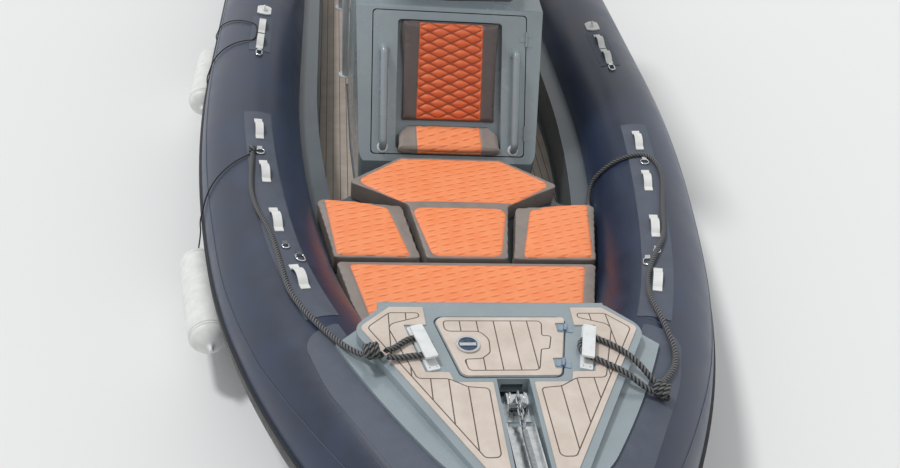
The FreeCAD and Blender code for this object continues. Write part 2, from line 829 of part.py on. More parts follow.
def chain_link(centre, flat):
    """Racetrack link along local Y, lying flat or on edge."""
    side = Vec(1, 0, 0) if flat else Vec(0, 0, 1)
    along = Vec(0, 1, 0)
    straight = chain_reach - chain_half_width
    a = centre + side * chain_half_width - along * straight
    b = centre + side * chain_half_width + along * straight
    c = centre - side * chain_half_width + along * straight
    d = centre - side * chain_half_width - along * straight
    edges = [
        Part.LineSegment(a, b).toShape(),
        Part.Arc(b, centre + along * chain_reach, c).toShape(),
        Part.LineSegment(c, d).toShape(),
        Part.Arc(d, centre - along * chain_reach, a).toShape(),
    ]
    section = Part.Face(Part.Wire(Part.makeCircle(chain_wire, a, along)))
    return Part.Wire(edges).makePipe(section)


def anchor_chain():
    """Links from the anchor's eye up to the top of the stopper's drum."""
    shapes = []
    for k in range(6):
        shapes.append(chain_link(Vec(0, chain_slack + chain_reach + chain_pitch * k, 0), k % 2 == 0))
    line = tilted(Vec(0, anchor_eye_y, anchor_eye_z), -chain_climb)
    return placed(placed(Part.Compound(shapes), line), chute_frame)


flap_ends = (-2840.0, -3720.0)
flap_edge = [(-2880.0, -13.0), (-2915.0, 19.0), (-3180.0, 26.0), (-3690.0, 33.0)]


def collar_patches():
    """Wear patches under the handles, and the bow deck's glued flaps with their rounded aft ends."""
    rows = [
        (290.0, -190.0, collar_crown_angle - 13.0, collar_crown_angle + 13.0),
        (-950.0, -2820.0, collar_crown_angle - patch_half_angle, collar_crown_angle + patch_half_angle),
    ]
    cover = flange_cover()
    shapes = []
    for aft, fore, low, high in rows:
        band = collar_band(collar_distance(aft), collar_distance(fore), tube_radius,
                           tube_radius + patch_thickness, low, high)
        shapes += both_sides(band.cut(cover))
    aft, fore = flap_ends
    flap = collar_band(collar_distance(aft), collar_distance(fore), tube_radius,
                       tube_radius + patch_thickness, -16.0, 38.0)
    edge = [on_collar(y, angle, tube_radius)[:2] for y, angle in flap_edge]
    inner = [(edge[-1][0] - 600.0, edge[-1][1]), (edge[0][0] - 600.0, edge[0][1])]
    outline = prism(edge + inner, 0.0, 2000.0, [20.0, 110.0, 900.0, 20.0, 20.0, 20.0])
    shapes += both_sides(flap.common(outline).cut(cover))
    return Part.Compound(shapes)


def rub_strake():
    band = collar_band(0.0, collar_length, tube_radius, tube_radius + rub_thickness,
                       rub_centre_angle - rub_half_angle, rub_centre_angle + rub_half_angle)
    return fuse(both_sides(band))


def stand_on_collar(shape, y, angle, radius, turn=0.0):
    """Moves a shape modelled at the origin (X outboard, Y aft, Z outwards) onto the port collar."""
    at = collar_distance(y)
    point, heading, up = collar_frame(at)
    out = collar_direction(at, angle)
    aft = heading * -1
    rotation = FreeCAD.Rotation(aft.cross(out), aft, out, "XYZ")
    rotation = rotation.multiply(FreeCAD.Rotation(Vec(0, 0, 1), turn))
    moved = shape.copy()
    moved.Placement = FreeCAD.Placement(point + out * radius, rotation)
    return moved


handle_length = 205.0
handle_width = 45.0
handle_rise = 34.0
handle_strap = 5.0
handle_places = [152.0, -69.0, -1141.0, -1567.0, -2018.0, -2522.0]


def strap_handle():
    """Arched webbing handle with flat ends."""
    half = handle_length / 2.0
    flat = 34.0
    top = handle_rise
    under = handle_rise - handle_strap
    edges = [
        Part.LineSegment(Vec(0, -half, 0), Vec(0, -half, handle_strap)).toShape(),
        Part.LineSegment(Vec(0, -half, handle_strap), Vec(0, -half + flat, handle_strap)).toShape(),
        Part.Arc(Vec(0, -half + flat, handle_strap), Vec(0, 0, top),
                 Vec(0, half - flat, handle_strap)).toShape(),
        Part.LineSegment(Vec(0, half - flat, handle_strap), Vec(0, half, handle_strap)).toShape(),
        Part.LineSegment(Vec(0, half, handle_strap), Vec(0, half, 0)).toShape(),
        Part.LineSegment(Vec(0, half, 0), Vec(0, half - flat - 4.0, 0)).toShape(),
        Part.Arc(Vec(0, half - flat - 4.0, 0), Vec(0, 0, under), Vec(0, -half + flat + 4.0, 0)).toShape(),
        Part.LineSegment(Vec(0, -half + flat + 4.0, 0), Vec(0, -half, 0)).toShape(),
    ]
    face = Part.Face(Part.Wire(edges))
    face.translate(Vec(-handle_width / 2, 0, 0))
    return face.extrude(Vec(handle_width, 0, 0))


def grab_handles(patches):
    strap = strap_handle()
    shapes = []
    for y in handle_places:
        standing = stand_on_collar(strap, y, collar_crown_angle, tube_radius + patch_thickness + 0.6)
        shapes += both_sides(standing.cut(patches))
    return Part.Compound(shapes)


# Columns: y, angle round the collar, ring radius, stretch along the boat
ring_rows = [
    (-1375.0, -6.0, 24.0, 0.0),
    (-2260.0, -8.0, 17.0, 0.0),
    (-2360.0, -17.0, 22.0, 16.0),
    (-230.0, -8.0, 18.0, 30.0),
]
ring_wire = 4.5


def tow_ring(radius, stretch):
    """Round or oval ring lying flat, with the small strap that holds it."""
    lift = ring_wire + 0.3
    half = stretch / 2.0
    if stretch > 0:
        a = Vec(radius, -half, lift)
        b = Vec(radius, half, lift)
        c = Vec(-radius, half, lift)
        d = Vec(-radius, -half, lift)
        edges = [
            Part.LineSegment(a, b).toShape(),
            Part.Arc(b, Vec(0, half + radius, lift), c).toShape(),
            Part.LineSegment(c, d).toShape(),
            Part.Arc(d, Vec(0, -half - radius, lift), a).toShape(),
        ]
        section = Part.Face(Part.Wire(Part.makeCircle(ring_wire, a, Vec(0, 1, 0))))
        ring = Part.Wire(edges).makePipe(section)
    else:
        ring = Part.makeTorus(radius, ring_wire, Vec(0, 0, lift))
    reach = radius + half
    strap = box(-13.0, 13.0, reach - 14.0, reach + 18.0, -0.3, 2 * ring_wire + 3.0)
    return ring.fuse(strap).removeSplitter()


def tow_rings():
    shapes = []
    for y, angle, radius, stretch in ring_rows:
        ring = tow_ring(radius, stretch)
        shapes += both_sides(stand_on_collar(ring, y, angle, tube_radius + patch_thickness + 0.8))
    return Part.Compound(shapes)


lift_pad_y = 400.0


def lift_pads(tube):
    """Oval pads with a raised eye, aft of the first patches."""
    band = collar_band(collar_distance(lift_pad_y + 75.0), collar_distance(lift_pad_y - 75.0),
                       tube_radius, tube_radius + 7.0, collar_crown_angle - 9.0, collar_crown_angle + 9.0)
    oval = stand_on_collar(Part.makeCylinder(66.0, 100.0, Vec(0, 0, -50.0)), lift_pad_y,
                           collar_crown_angle, tube_radius)
    pad = band.common(oval)
    eye = Part.makeTorus(18.0, 5.0, Vec(0, 0, 18.0), Vec(1, 0, 0))
    base = Part.makeCylinder(20.0, 6.0, Vec(0, 0, 4.0))
    fitting = stand_on_collar(eye.fuse(base), lift_pad_y, collar_crown_angle, tube_radius + 1.0)
    return Part.Compound(both_sides(pad.fuse(fitting).cut(tube)))


console_profile = [
    (console_front_y, floor_height),
    (console_front_y, console_knee_z),
    (console_front_y + (console_top_z - console_knee_z) * math.tan(math.radians(console_rake)),
     console_top_z),
    (-60.0, 1268.0),
    (180.0, 1010.0),
    (300.0, 1000.0),
    (console_aft_y, floor_height),
]
console_plan = [
    (console_half_aft, console_aft_y + 10.0),
    (console_half_mid, -455.0),
    (console_half_fore, console_front_y - 10.0),
]


def console_solid(inset):
    """Console's outer form, or its inner space when inset by the wall."""
    rows = []
    count = len(console_profile)
    centre_y = -300.0
    centre_z = 700.0
    for i in range(count):
        before = Vec(*console_profile[i - 1], 0)
        here = Vec(*console_profile[i], 0)
        after = Vec(*console_profile[(i + 1) % count], 0)
        first = (here - before).normalize()
        second = (after - here).normalize()
        normal_a = Vec(first.y, -first.x, 0)
        normal_b = Vec(second.y, -second.x, 0)
        if normal_a.dot(Vec(centre_y, centre_z, 0) - here) < 0:
            normal_a = normal_a * -1
        if normal_b.dot(Vec(centre_y, centre_z, 0) - here) < 0:
            normal_b = normal_b * -1
        if abs(here.y - floor_height) < 1e-6:
            side = normal_b if i == 0 else normal_a
            rows.append((here.x + side.x * inset, here.y - 1.0))
            continue
        bisector = (normal_a + normal_b).normalize()
        shift = bisector * (inset / bisector.dot(normal_a))
        rows.append((here.x + shift.x, here.y + shift.y))
    edge_radius = max(26.0 - inset, 0.0)
    foot = box(-800.0, 800.0, console_front_y - 100.0, console_aft_y + 100.0, floor_height - 5.0,
               floor_height)
    side_form = profile_x(rows, -700.0, 700.0, [0, 0, edge_radius, edge_radius, 0, 0, 0])
    plan = [(x - inset, y) for x, y in console_plan]
    corner = max(60.0 - inset, 10.0)
    plan_form = prism(mirrored(plan), 100.0, 1400.0, [corner, 0, corner, corner, 0, corner])
    form = side_form.common(plan_form)
    return form if inset > 0 else form.cut(foot)


niche_outline = [(326.0, 875.0), (332.0, 78.0)]
niche_rim = 24.0
hinge_axis_u = door_half + door_gap / 2.0
hinge_axis_w = 7.0


def console():
    shell = console_solid(0.0).cut(console_solid(console_wall))
    low = door_low - door_gap
    high = door_high + door_gap
    half = door_half + door_gap
    opening = prism(mirrored([(half, high), (half, low)]), -console_wall * 2.2, 60.0, 24.0)
    shell = shell.cut(placed(opening, door_frame))
    return shell


def console_door():
    panel = prism(mirrored([(door_half, door_high), (door_half, door_low)]), -door_thickness, 0.0, 22.0)
    (top_half, top), (low_half, low) = niche_outline
    pan_outline = [(top_half + niche_rim, top + niche_rim), (low_half + niche_rim, low - niche_rim)]
    pan = prism(mirrored(pan_outline), -niche_depth - 12.0, -door_thickness + 1.0, 30.0)
    niche = prism(mirrored(niche_outline), -niche_depth, 20.0, 22.0)
    return placed(panel.fuse(pan).cut(niche).removeSplitter(), door_frame)


def door_local(points, u0, u1, radii=0.0):
    """Polygon of (v, w) pairs in the door's frame, extruded across the door."""
    return placed(profile_x(points, u0, u1, radii), door_frame)


def door_backrest():
    base = -niche_depth + seat_gap
    return door_local([(250.0, base), (250.0, -24.0), (866.0, 60.0), (866.0, base)], -300.0, 300.0,
                      [0, 18, 24, 0])


def door_seat():
    base = -niche_depth + seat_gap
    return door_local([(50.0, seat_gap), (50.0, 98.0), (242.0, -50.0), (242.0, base), (82.0, base),
                       (82.0, seat_gap)],
                      -322.0, 322.0, [0, 22, 0, 0, 0, 0])


def door_rails():
    """Two bent grab rails with round feet, either side of the niche."""
    low = 84.0
    high = 690.0
    points = [(0, low, 0.0), (0, low, rail_stand), (0, high, rail_stand), (0, high, 0.0)]
    rail = bent_tube(points, rail_radius * 1.7, rail_radius)
    feet = [Part.makeCylinder(rail_radius + 9.0, 5.0, Vec(0, v, 0.0)) for v in (low, high)]
    body = fuse([rail] + feet)
    body.translate(Vec(rail_place, 0, 0))
    return placed(Part.Compound(both_sides(body)), door_frame)


door_hinge_places = [190.0, 780.0]


def door_hinge(moving):
    """Knuckles down the port edge of the door; the pin belongs to the console's leaf."""
    shapes = []
    for v in door_hinge_places:
        spans = [(v - 14.0, v + 14.0)] if moving else [(v - 46.0, v - 15.0), (v + 15.0, v + 46.0)]
        parts = []
        for a, b in spans:
            start = Vec(hinge_axis_u, a, hinge_axis_w)
            knuckle = Part.makeCylinder(hinge_pin_radius + 2.0, b - a, start, Vec(0, 1, 0))
            if moving:
                knuckle = knuckle.cut(Part.makeCylinder(hinge_pin_radius + 0.05, b - a, start,
                                                        Vec(0, 1, 0)))
                leaf = box(hinge_axis_u - 46.0, hinge_axis_u - hinge_pin_radius - 0.6, a, b, 0.0, 3.0)
            else:
                leaf = box(hinge_axis_u + hinge_pin_radius + 0.6, hinge_axis_u + 40.0, a, b, 0.0, 3.0)
            parts += [knuckle, leaf]
        if not moving:
            parts.append(Part.makeCylinder(hinge_pin_radius, 92.0,
                                           Vec(hinge_axis_u, v - 46.0, hinge_axis_w), Vec(0, 1, 0)))
        shapes.append(placed(fuse(parts), door_frame))
    return Part.Compound(shapes)


def windshield():
    """Wrap-round screen raked aft."""
    def ring(z, y_front, y_back, half, thickness):
        outer = [(half, y_back), (half - 20.0, y_front + 170.0), (half - 150.0, y_front),
                 (0.0, y_front - 30.0)]
        inner = [(x - thickness if x > 0 else 0.0, y + (thickness if i > 0 else 0.0)) for i,
                 (x, y) in enumerate(outer)]
        path = outer + [(-x, y) for x, y in reversed(outer[:-1])]
        back = inner + [(-x, y) for x, y in reversed(inner[:-1])]
        points = [Vec(x, y, z) for x, y in path] + [Vec(x, y, z) for x, y in reversed(back)]
        return Part.makePolygon(points + [points[0]])
    low = ring(1224.0, -354.0, -90.0, 550.5, 9.0)
    high = ring(1640.0, -90.0, 130.0, 490.0, 9.0)
    screen = Part.makeLoft([low, high], True, True)
    return screen.cut(console_solid(-seat_gap))


dash_slope = math.degrees(math.atan2(1268.0 - 1010.0, 180.0 + 60.0))
dash_frame = FreeCAD.Placement(Vec(0, 60.0, (1268.0 + 1010.0) / 2.0),
                               FreeCAD.Rotation(Vec(1, 0, 0), -dash_slope))
wheel_x = -250.0
wheel_stand = 130.0
wheel_radius = 172.0


def dash_panel():
    """Instrument panel with two blank displays and a row of switches."""
    panel = prism(mirrored([(520.0, 150.0), (520.0, -150.0)]), seat_gap, 8.0, 20.0)
    screens = [prism([(x - 150, 95), (x + 150, 95), (x + 150, -85), (x - 150, -85)], 7.0, 16.0,
                     12.0) for x in (130.0,)]
    boss = Part.makeCylinder(46.0, 26.0, Vec(wheel_x, 0, 7.0))
    switches = [box(330.0 + 34.0 * k, 352.0 + 34.0 * k, -30.0, 12.0, 7.0, 13.0) for k in range(5)]
    return placed(fuse([panel, boss] + screens + switches), dash_frame)


def steering_wheel():
    rim = Part.makeTorus(wheel_radius, 14.0, Vec(0, 0, wheel_stand))
    hub = Part.makeCylinder(34.0, 34.0, Vec(0, 0, wheel_stand - 46.0))
    column = Part.makeCylinder(16.0, wheel_stand - 40.0 - 34.0, Vec(0, 0, 34.0))
    spokes = []
    for k in range(3):
        spoke = box(20.0, wheel_radius, -15.0, 15.0, -4.0, 4.0)
        spoke.Placement = FreeCAD.Placement(Vec(0, 0, wheel_stand - 22.0),
                                            FreeCAD.Rotation(Vec(0, 0, 1), 90 + 120 * k))
        spokes.append(spoke)
    web = Part.makeCone(wheel_radius - 2.0, wheel_radius + 2.0, 22.0, Vec(0, 0, wheel_stand - 26.0))
    web = web.cut(Part.makeCylinder(wheel_radius - 12.0, 60.0, Vec(0, 0, wheel_stand - 40.0)))
    body = fuse([rim, hub, column, web] + spokes)
    body.translate(Vec(wheel_x, 0, 0))
    return placed(body, dash_frame)


def throttle():
    base = prism([(-60, 45), (60, 45), (60, -45), (-60, -45)], 0.3, 40.0, 14.0)
    lever = bent_tube([(0, 0, 30.0), (0, -10.0, 120.0), (0, -30.0, 190.0)], 40.0, 9.0)
    grip = cylinder_between(Vec(-34.0, -30.0, 190.0), Vec(34.0, -30.0, 190.0), 14.0)
    body = fuse([base, lever, grip])
    body.translate(Vec(180.0, 240.0, 1000.0))
    return body.cut(console_solid(-seat_gap))


ttop_half = 640.0
ttop_tube = 24.0
ttop_height = 2290.0


def ttop_frame():
    """Four legs with floor flanges, longitudinal roof rails and three crossbars."""
    port = []
    front_foot = (615.0, 540.0, floor_height + 8.0)
    hoop = [front_foot, (ttop_half, 440.0, 1500.0), (ttop_half, 120.0, ttop_height),
            (ttop_half, 1960.0, ttop_height),
            (ttop_half, 1760.0, 1500.0), (ttop_half, 1700.0, floor_height + 8.0)]
    port.append(bent_tube(hoop, 150.0, ttop_tube))
    for x, y in ((615.0, 540.0), (ttop_half, 1700.0)):
        port.append(Part.makeCylinder(52.0, 8.0, Vec(x, y, floor_height)))
    shapes = []
    for piece in port:
        shapes += both_sides(piece)
    for y in (330.0, 1000.0, 1750.0):
        shapes.append(cylinder_between(Vec(-ttop_half, y, ttop_height), Vec(ttop_half, y, ttop_height),
                                       ttop_tube * 0.8))
    return fuse(shapes)


def ttop_canopy():
    """Thin crowned roof panel on the frame."""
    low = ttop_height + ttop_tube + seat_gap
    edge = 12.0
    arch_rise = 72.0
    half = 860.0
    wide = half + 60.0
    y0 = -120.0
    y1 = 2120.0
    edges = [
        Part.Arc(Vec(-wide, 0, low + edge), Vec(0, 0, low + arch_rise),
                 Vec(wide, 0, low + edge)).toShape(),
        Part.LineSegment(Vec(wide, 0, low + edge), Vec(wide, 0, low)).toShape(),
        Part.LineSegment(Vec(wide, 0, low), Vec(-wide, 0, low)).toShape(),
        Part.LineSegment(Vec(-wide, 0, low), Vec(-wide, 0, low + edge)).toShape(),
    ]
    roof = Part.Face(Part.Wire(edges))
    roof.translate(Vec(0, y0 - 50.0, 0))
    roof = roof.extrude(Vec(0, y1 - y0 + 100.0, 0))
    plan = prism(mirrored([(half, y1), (half, y0)]), low - 10.0, low + 200.0, 180.0)
    return roof.common(plan)


def helm_seat():
    """Moulded double seat pod."""
    pod = profile_x([(1080.0, floor_height), (1040.0, 780.0), (1580.0, 780.0), (1620.0, floor_height)],
                    -470.0, 470.0)
    toe = box(-480.0, 480.0, 1000.0, 1120.0, floor_height - 1.0, floor_height + 90.0)
    back = profile_x([(1540.0, 779.0), (1600.0, 1240.0), (1640.0, 1240.0), (1600.0, 779.0)], -470.0,
                     470.0)
    return fuse([pod.cut(toe), back])


def helm_cushions():
    shapes = []
    for x0, x1 in ((-460.0, -6.0), (6.0, 460.0)):
        seat = profile_x([(1045.0, 780.3), (1040.0, 880.0), (1480.0, 890.0), (1480.0, 780.3)], x0, x1,
                         [10, 30, 20, 0])
        back = profile_x([(1485.0, 900.0), (1500.0, 1250.0), (1601.0, 1250.0), (1555.4, 900.0)], x0, x1,
                         [20, 30, 20, 5])
        shapes += [seat, back]
    return Part.Compound(shapes)


bench_top = 430.0
bench_fore_y = 2560.0


def stern_bench():
    base = box(-800.0, 800.0, bench_fore_y, aft_bulkhead_y - 1.0, floor_height, bench_top)
    toe = box(-810.0, 810.0, bench_fore_y - 10.0, bench_fore_y + 70.0, floor_height - 1.0,
              floor_height + 90.0)
    back = profile_x([(3060.0, bench_top - 1.0), (3085.0, 760.0), (3135.0, 760.0),
                      (3135.0, bench_top - 1.0)],
                     -800.0, 800.0, [0, 15, 15, 0])
    return fuse([base.cut(toe), back])


def stern_cushions():
    shapes = []
    spans = [(-795.0, -270.0), (-262.0, 262.0), (270.0, 795.0)]
    for x0, x1 in spans:
        seat = profile_x([(2550.0, 430.3), (2550.0, 545.0), (2995.0, 545.0), (2995.0, 430.3)], x0, x1,
                         [12, 35, 12, 0])
        back = profile_x([(2975.0, 555.0), (3000.0, 770.0), (3085.5, 770.0), (3069.2, 555.0)], x0, x1,
                         [20, 30, 12, 5])
        shapes += [seat, back]
    return Part.Compound(shapes)


def floor_teak():
    """Deck planks along both walkways and across the cockpit, cut where fittings stand."""
    sheet = plan_face(side_deck_inset + 18.0, bench_fore_y + 60.0, -1560.0)
    sheet.translate(Vec(0, 0, floor_height))
    sheet = sheet.extrude(Vec(0, 0, teak_thickness))
    lounge = prism(mirrored([(330.0, -1040.0), (655.0, -1370.0), (1000.0, -1560.0), (1000.0, -2700.0)]),
                   0.0, 400.0)
    console_foot = prism(mirrored([(x + 8.0, y + (8.0 if i == 0 else -8.0)) for i,
                                   (x, y) in enumerate(console_plan)]), 0.0, 400.0)
    pod_foot = box(-480.0, 480.0, 1072.0, 1630.0, 0.0, 400.0)
    bench_foot = box(-810.0, 810.0, bench_fore_y - 8.0, 3400.0, 0.0, 400.0)
    feet = []
    for x, y in ((615.0, 540.0), (ttop_half, 1700.0)):
        feet += both_sides(Part.makeCylinder(56.0, 100.0, Vec(x, y, floor_height - 10.0)))
    return sheet.cut([lounge, console_foot, pod_foot, bench_foot] + feet)


def cushion(outline, low, high, radius):
    return prism(outline, low, high, radius)


cushion_low = coaming_height + seat_gap
cushion_gap = 7.0


def centre_cushion():
    """Hexagon with the trapezoid tongue that joins it forward."""
    half = [(318.0, -1112.0), (640.0, -1372.0), (300.0, -1590.0), (226.0, -2062.0)]
    return cushion(mirrored(half), cushion_low, lounge_top, [30, 30, 40, 30, 30, 40, 30, 30])


def side_cushions():
    outline = [(820.0, -1540.0), (666.0, -1548.0), (318.0, -1594.0), (240.0, -2062.0), (712.0, -2062.0)]
    return cushion(outline, cushion_low, lounge_top, [45, 20, 40, 25, 30])


def lounge_pieces(tubes):
    """Cushions trimmed where they lean on the collar."""
    gap_tube = tubes
    sides = [piece.cut(gap_tube) for piece in both_sides(side_cushions())]
    forward = cushion(mirrored([(708.0, -2072.0), (560.0, -2700.0)]), cushion_low, lounge_top,
                      [30, 20, 20, 30])
    forward = forward.cut(gap_tube)
    return centre_cushion(), Part.Compound(sides), forward


def forward_bolster():
    """Backrest roll on the bulkhead under the bow deck's aft edge."""
    y = hull_fore
    return profile_x([(y + seat_gap, 600.0), (y + 72.0, 600.0), (y + 85.0, 720.0), (y + 80.0, 850.0),
                      (y + seat_gap, 850.0)],
                     -500.0, 500.0, [0, 20, 0, 34, 0])


platform_in = 440.0
platform_out = 900.0


def swim_platforms():
    plate = prism([(platform_in, hull_aft), (platform_out, hull_aft), (platform_out - 60.0, 4150.0),
                   (platform_in, 4180.0)],
                  215.0, 255.0, [0, 0, 120, 60])
    knee = profile_x([(hull_aft, 60.0), (hull_aft, 216.0), (hull_aft + 240.0, 216.0)], platform_in + 60.0,
                     platform_in + 100.0)
    knee_out = profile_x([(hull_aft, 60.0), (hull_aft, 216.0), (hull_aft + 240.0, 216.0)],
                         platform_out - 160.0, platform_out - 120.0)
    port = fuse([plate, knee, knee_out])
    return Part.Compound(both_sides(port))


def transom_bracket():
    """Clamp and thrust plates that carry the tilt tube."""
    plate = box(-160.0, 160.0, hull_aft, hull_aft + 22.0, 60.0, 340.0)
    cheek = profile_x([(hull_aft + 20.0, 80.0), (hull_aft + 20.0, 400.0), (hull_aft + 60.0, 450.0),
                       (tilt_y + 40.0, 440.0),
                       (tilt_y + 45.0, 370.0), (hull_aft + 70.0, 100.0)], 128.0, 156.0,
                       [0, 0, 25, 30, 30, 20])
    hook = box(-160.0, 160.0, hull_aft - 60.0, hull_aft + 21.0, 330.3, 350.0)
    pin = cylinder_between(Vec(-156.0, tilt_y, tilt_z), Vec(156.0, tilt_y, tilt_z), 18.0)
    return fuse([plate, hook, pin] + both_sides(cheek))


def tilt_swivel():
    """Swivel bracket between the clamp's cheeks, bored for the tilt tube and the steering post."""
    sleeve = cylinder_between(Vec(-118.0, tilt_y, tilt_z), Vec(118.0, tilt_y, tilt_z), 38.0)
    arm = box(-60.0, 60.0, tilt_y, steer_y, 150.0, tilt_z + 30.0)
    housing = Part.makeCylinder(52.0, 330.0, Vec(0, steer_y, 110.0))
    body = fuse([sleeve, arm, housing])
    bore = cylinder_between(Vec(-130.0, tilt_y, tilt_z), Vec(130.0, tilt_y, tilt_z), 18.05)
    post = Part.makeCylinder(24.05, 400.0, Vec(0, steer_y, 100.0))
    return body.cut([bore, post])


def outboard_leg():
    """Steering post with its yokes, midsection, plate, gearcase and skeg."""
    post = Part.makeCylinder(24.0, 420.0, Vec(0, steer_y, 70.0))
    top_yoke = prism([(-85.0, steer_y - 40.0), (85.0, steer_y - 40.0), (95.0, 4330.0), (-95.0, 4330.0)],
                     448.0, 500.0, 30.0)
    low_yoke = prism([(-60.0, steer_y - 40.0), (60.0, steer_y - 40.0), (60.0, 4160.0), (-60.0, 4160.0)],
                     60.0, 102.0, 25.0)
    rows = [(500.0, 4090.0, 4420.0, 95.0), (100.0, 4090.0, 4380.0, 80.0), (-420.0, 4080.0, 4340.0, 48.0)]
    wires = []
    for z, fore, aft, half in rows:
        wires.append(lens_wire(fore, aft, half, z))
    mid = Part.makeLoft(wires, True, True)
    plate = prism([(-30.0, 4010.0), (30.0, 4010.0), (130.0, 4200.0), (110.0, 4520.0), (-110.0, 4520.0),
                   (-130.0, 4200.0)],
                  -432.0, -420.0, [20, 20, 60, 50, 50, 60])
    strut = Part.makeLoft([lens_wire(4075.0, 4345.0, 46.0, -430.0),
                           lens_wire(4060.0, 4330.0, 34.0, prop_axis_z)], True, True)
    torpedo = Part.makeCylinder(62.0, 330.0, Vec(0, 4050.0, prop_axis_z), Vec(0, 1, 0))
    nose = Part.makeCone(10.0, 62.0, 120.0, Vec(0, 3930.0, prop_axis_z), Vec(0, 1, 0))
    skeg = profile_x([(4090.0, prop_axis_z - 40.0), (4170.0, prop_axis_z - 215.0),
                      (4250.0, prop_axis_z - 215.0),
                      (4310.0, prop_axis_z - 40.0)], -7.0, 7.0, [0, 20, 20, 0])
    shaft = Part.makeCylinder(14.0, 130.0, Vec(0, 4379.0, prop_axis_z), Vec(0, 1, 0))
    return fuse([post, top_yoke, low_yoke, mid, plate, strut, torpedo, nose, skeg, shaft])


def lens_wire(fore, aft, half, z):
    """Pointed oval section between two ends of a foil."""
    middle = fore + (aft - fore) * 0.42
    a = Vec(0, fore, z)
    b = Vec(0, aft, z)
    edges = [Part.Arc(a, Vec(half, middle, z), b).toShape(),
             Part.Arc(b, Vec(-half, middle, z), a).toShape()]
    return Part.Wire(edges)


def outboard_cowl():
    """Engine cover, fuller at its middle, flat below and crowned above."""
    rows = [(500.5, 3915.0, 4560.0, 200.0), (700.0, 3895.0, 4620.0, 250.0),
            (960.0, 3915.0, 4600.0, 238.0),
            (1120.0, 3985.0, 4500.0, 180.0)]
    wires = []
    for z, fore, aft, half in rows:
        points = [(half * 0.55, fore), (half, fore + 140.0), (half * 0.92, aft - 160.0),
                  (half * 0.5, aft)]
        wire = polygon_wire(mirrored([points[3], points[2], points[1], points[0]]), 60.0)
        wire.translate(Vec(0, 0, z))
        wires.append(wire)
    return Part.makeLoft(wires, True, True)


def propeller():
    """Three blades on a hub; each blade is a few lens sections that twist outwards."""
    hub = Part.makeCylinder(46.0, 120.0, Vec(0, prop_y - 30.0, prop_axis_z), Vec(0, 1, 0))
    bore = Part.makeCylinder(14.05, 200.0, Vec(0, prop_y - 60.0, prop_axis_z), Vec(0, 1, 0))
    # Columns: radius, chord, thickness, pitch angle
    rows = [(30.0, 90.0, 14.0, 62.0), (100.0, 150.0, 9.0, 40.0), (160.0, 140.0, 6.0, 30.0),
            (prop_radius, 60.0, 4.0, 26.0)]
    wires = []
    for radius, chord, thickness, pitch in rows:
        a = Vec(-chord / 2, 0, 0)
        b = Vec(chord / 2, 0, 0)
        arcs = [Part.Arc(a, Vec(0, thickness / 2, 0), b).toShape(),
                Part.Arc(b, Vec(0, -thickness / 2, 0), a).toShape()]
        wire = Part.Wire(arcs)
        wire.Placement = FreeCAD.Placement(Vec(0, prop_y + 30.0, prop_axis_z + radius),
                                           FreeCAD.Rotation(Vec(0, 0, 1), pitch))
        wires.append(wire)
    blade = Part.makeLoft(wires, True, True)
    blades = []
    for k in range(3):
        turned = blade.copy()
        turned.rotate(Vec(0, prop_y, prop_axis_z), Vec(0, 1, 0), 120.0 * k)
        blades.append(turned)
    return fuse([hub] + blades).cut(bore)


# Columns: y of the fender's middle, angle round the collar
fender_rows = [(235.0, 118.0), (-1960.0, 121.0)]


def fender_ends(row):
    """Aft and fore end points of a fender's axis, on the starboard side."""
    y, angle = row
    centre = Vec(*on_collar(y, angle, tube_radius + fender_radius + seat_gap, -1))
    at = collar_distance(y)
    heading = collar_frame(at)[1]
    heading = Vec(-heading.x, heading.y, heading.z)
    return centre - heading * (fender_length / 2), centre + heading * (fender_length / 2)


def fenders():
    """Cylindrical fenders with rounded shoulders and an eye at each end."""
    shapes = []
    for row in fender_rows:
        aft, fore = fender_ends(row)
        axis = (fore - aft).normalize()
        shoulder = 62.0
        body = cylinder_between(aft + axis * shoulder, fore - axis * shoulder, fender_radius)
        for tip, sign in ((aft, 1.0), (fore, -1.0)):
            dome = Part.makeCone(44.0, fender_radius, shoulder, tip, axis * sign)
            lug = Part.makeCylinder(18.0, 42.0, tip - axis * (sign * 40.0), axis * sign)
            side = axis.cross(Vec(0, 0, 1)).normalize()
            hole = Part.makeCylinder(7.0, 60.0, tip - axis * (sign * 24.0) - side * 30.0, side)
            body = body.fuse([dome, lug.cut(hole)])
        shapes.append(body.removeSplitter())
    return Part.Compound(shapes)


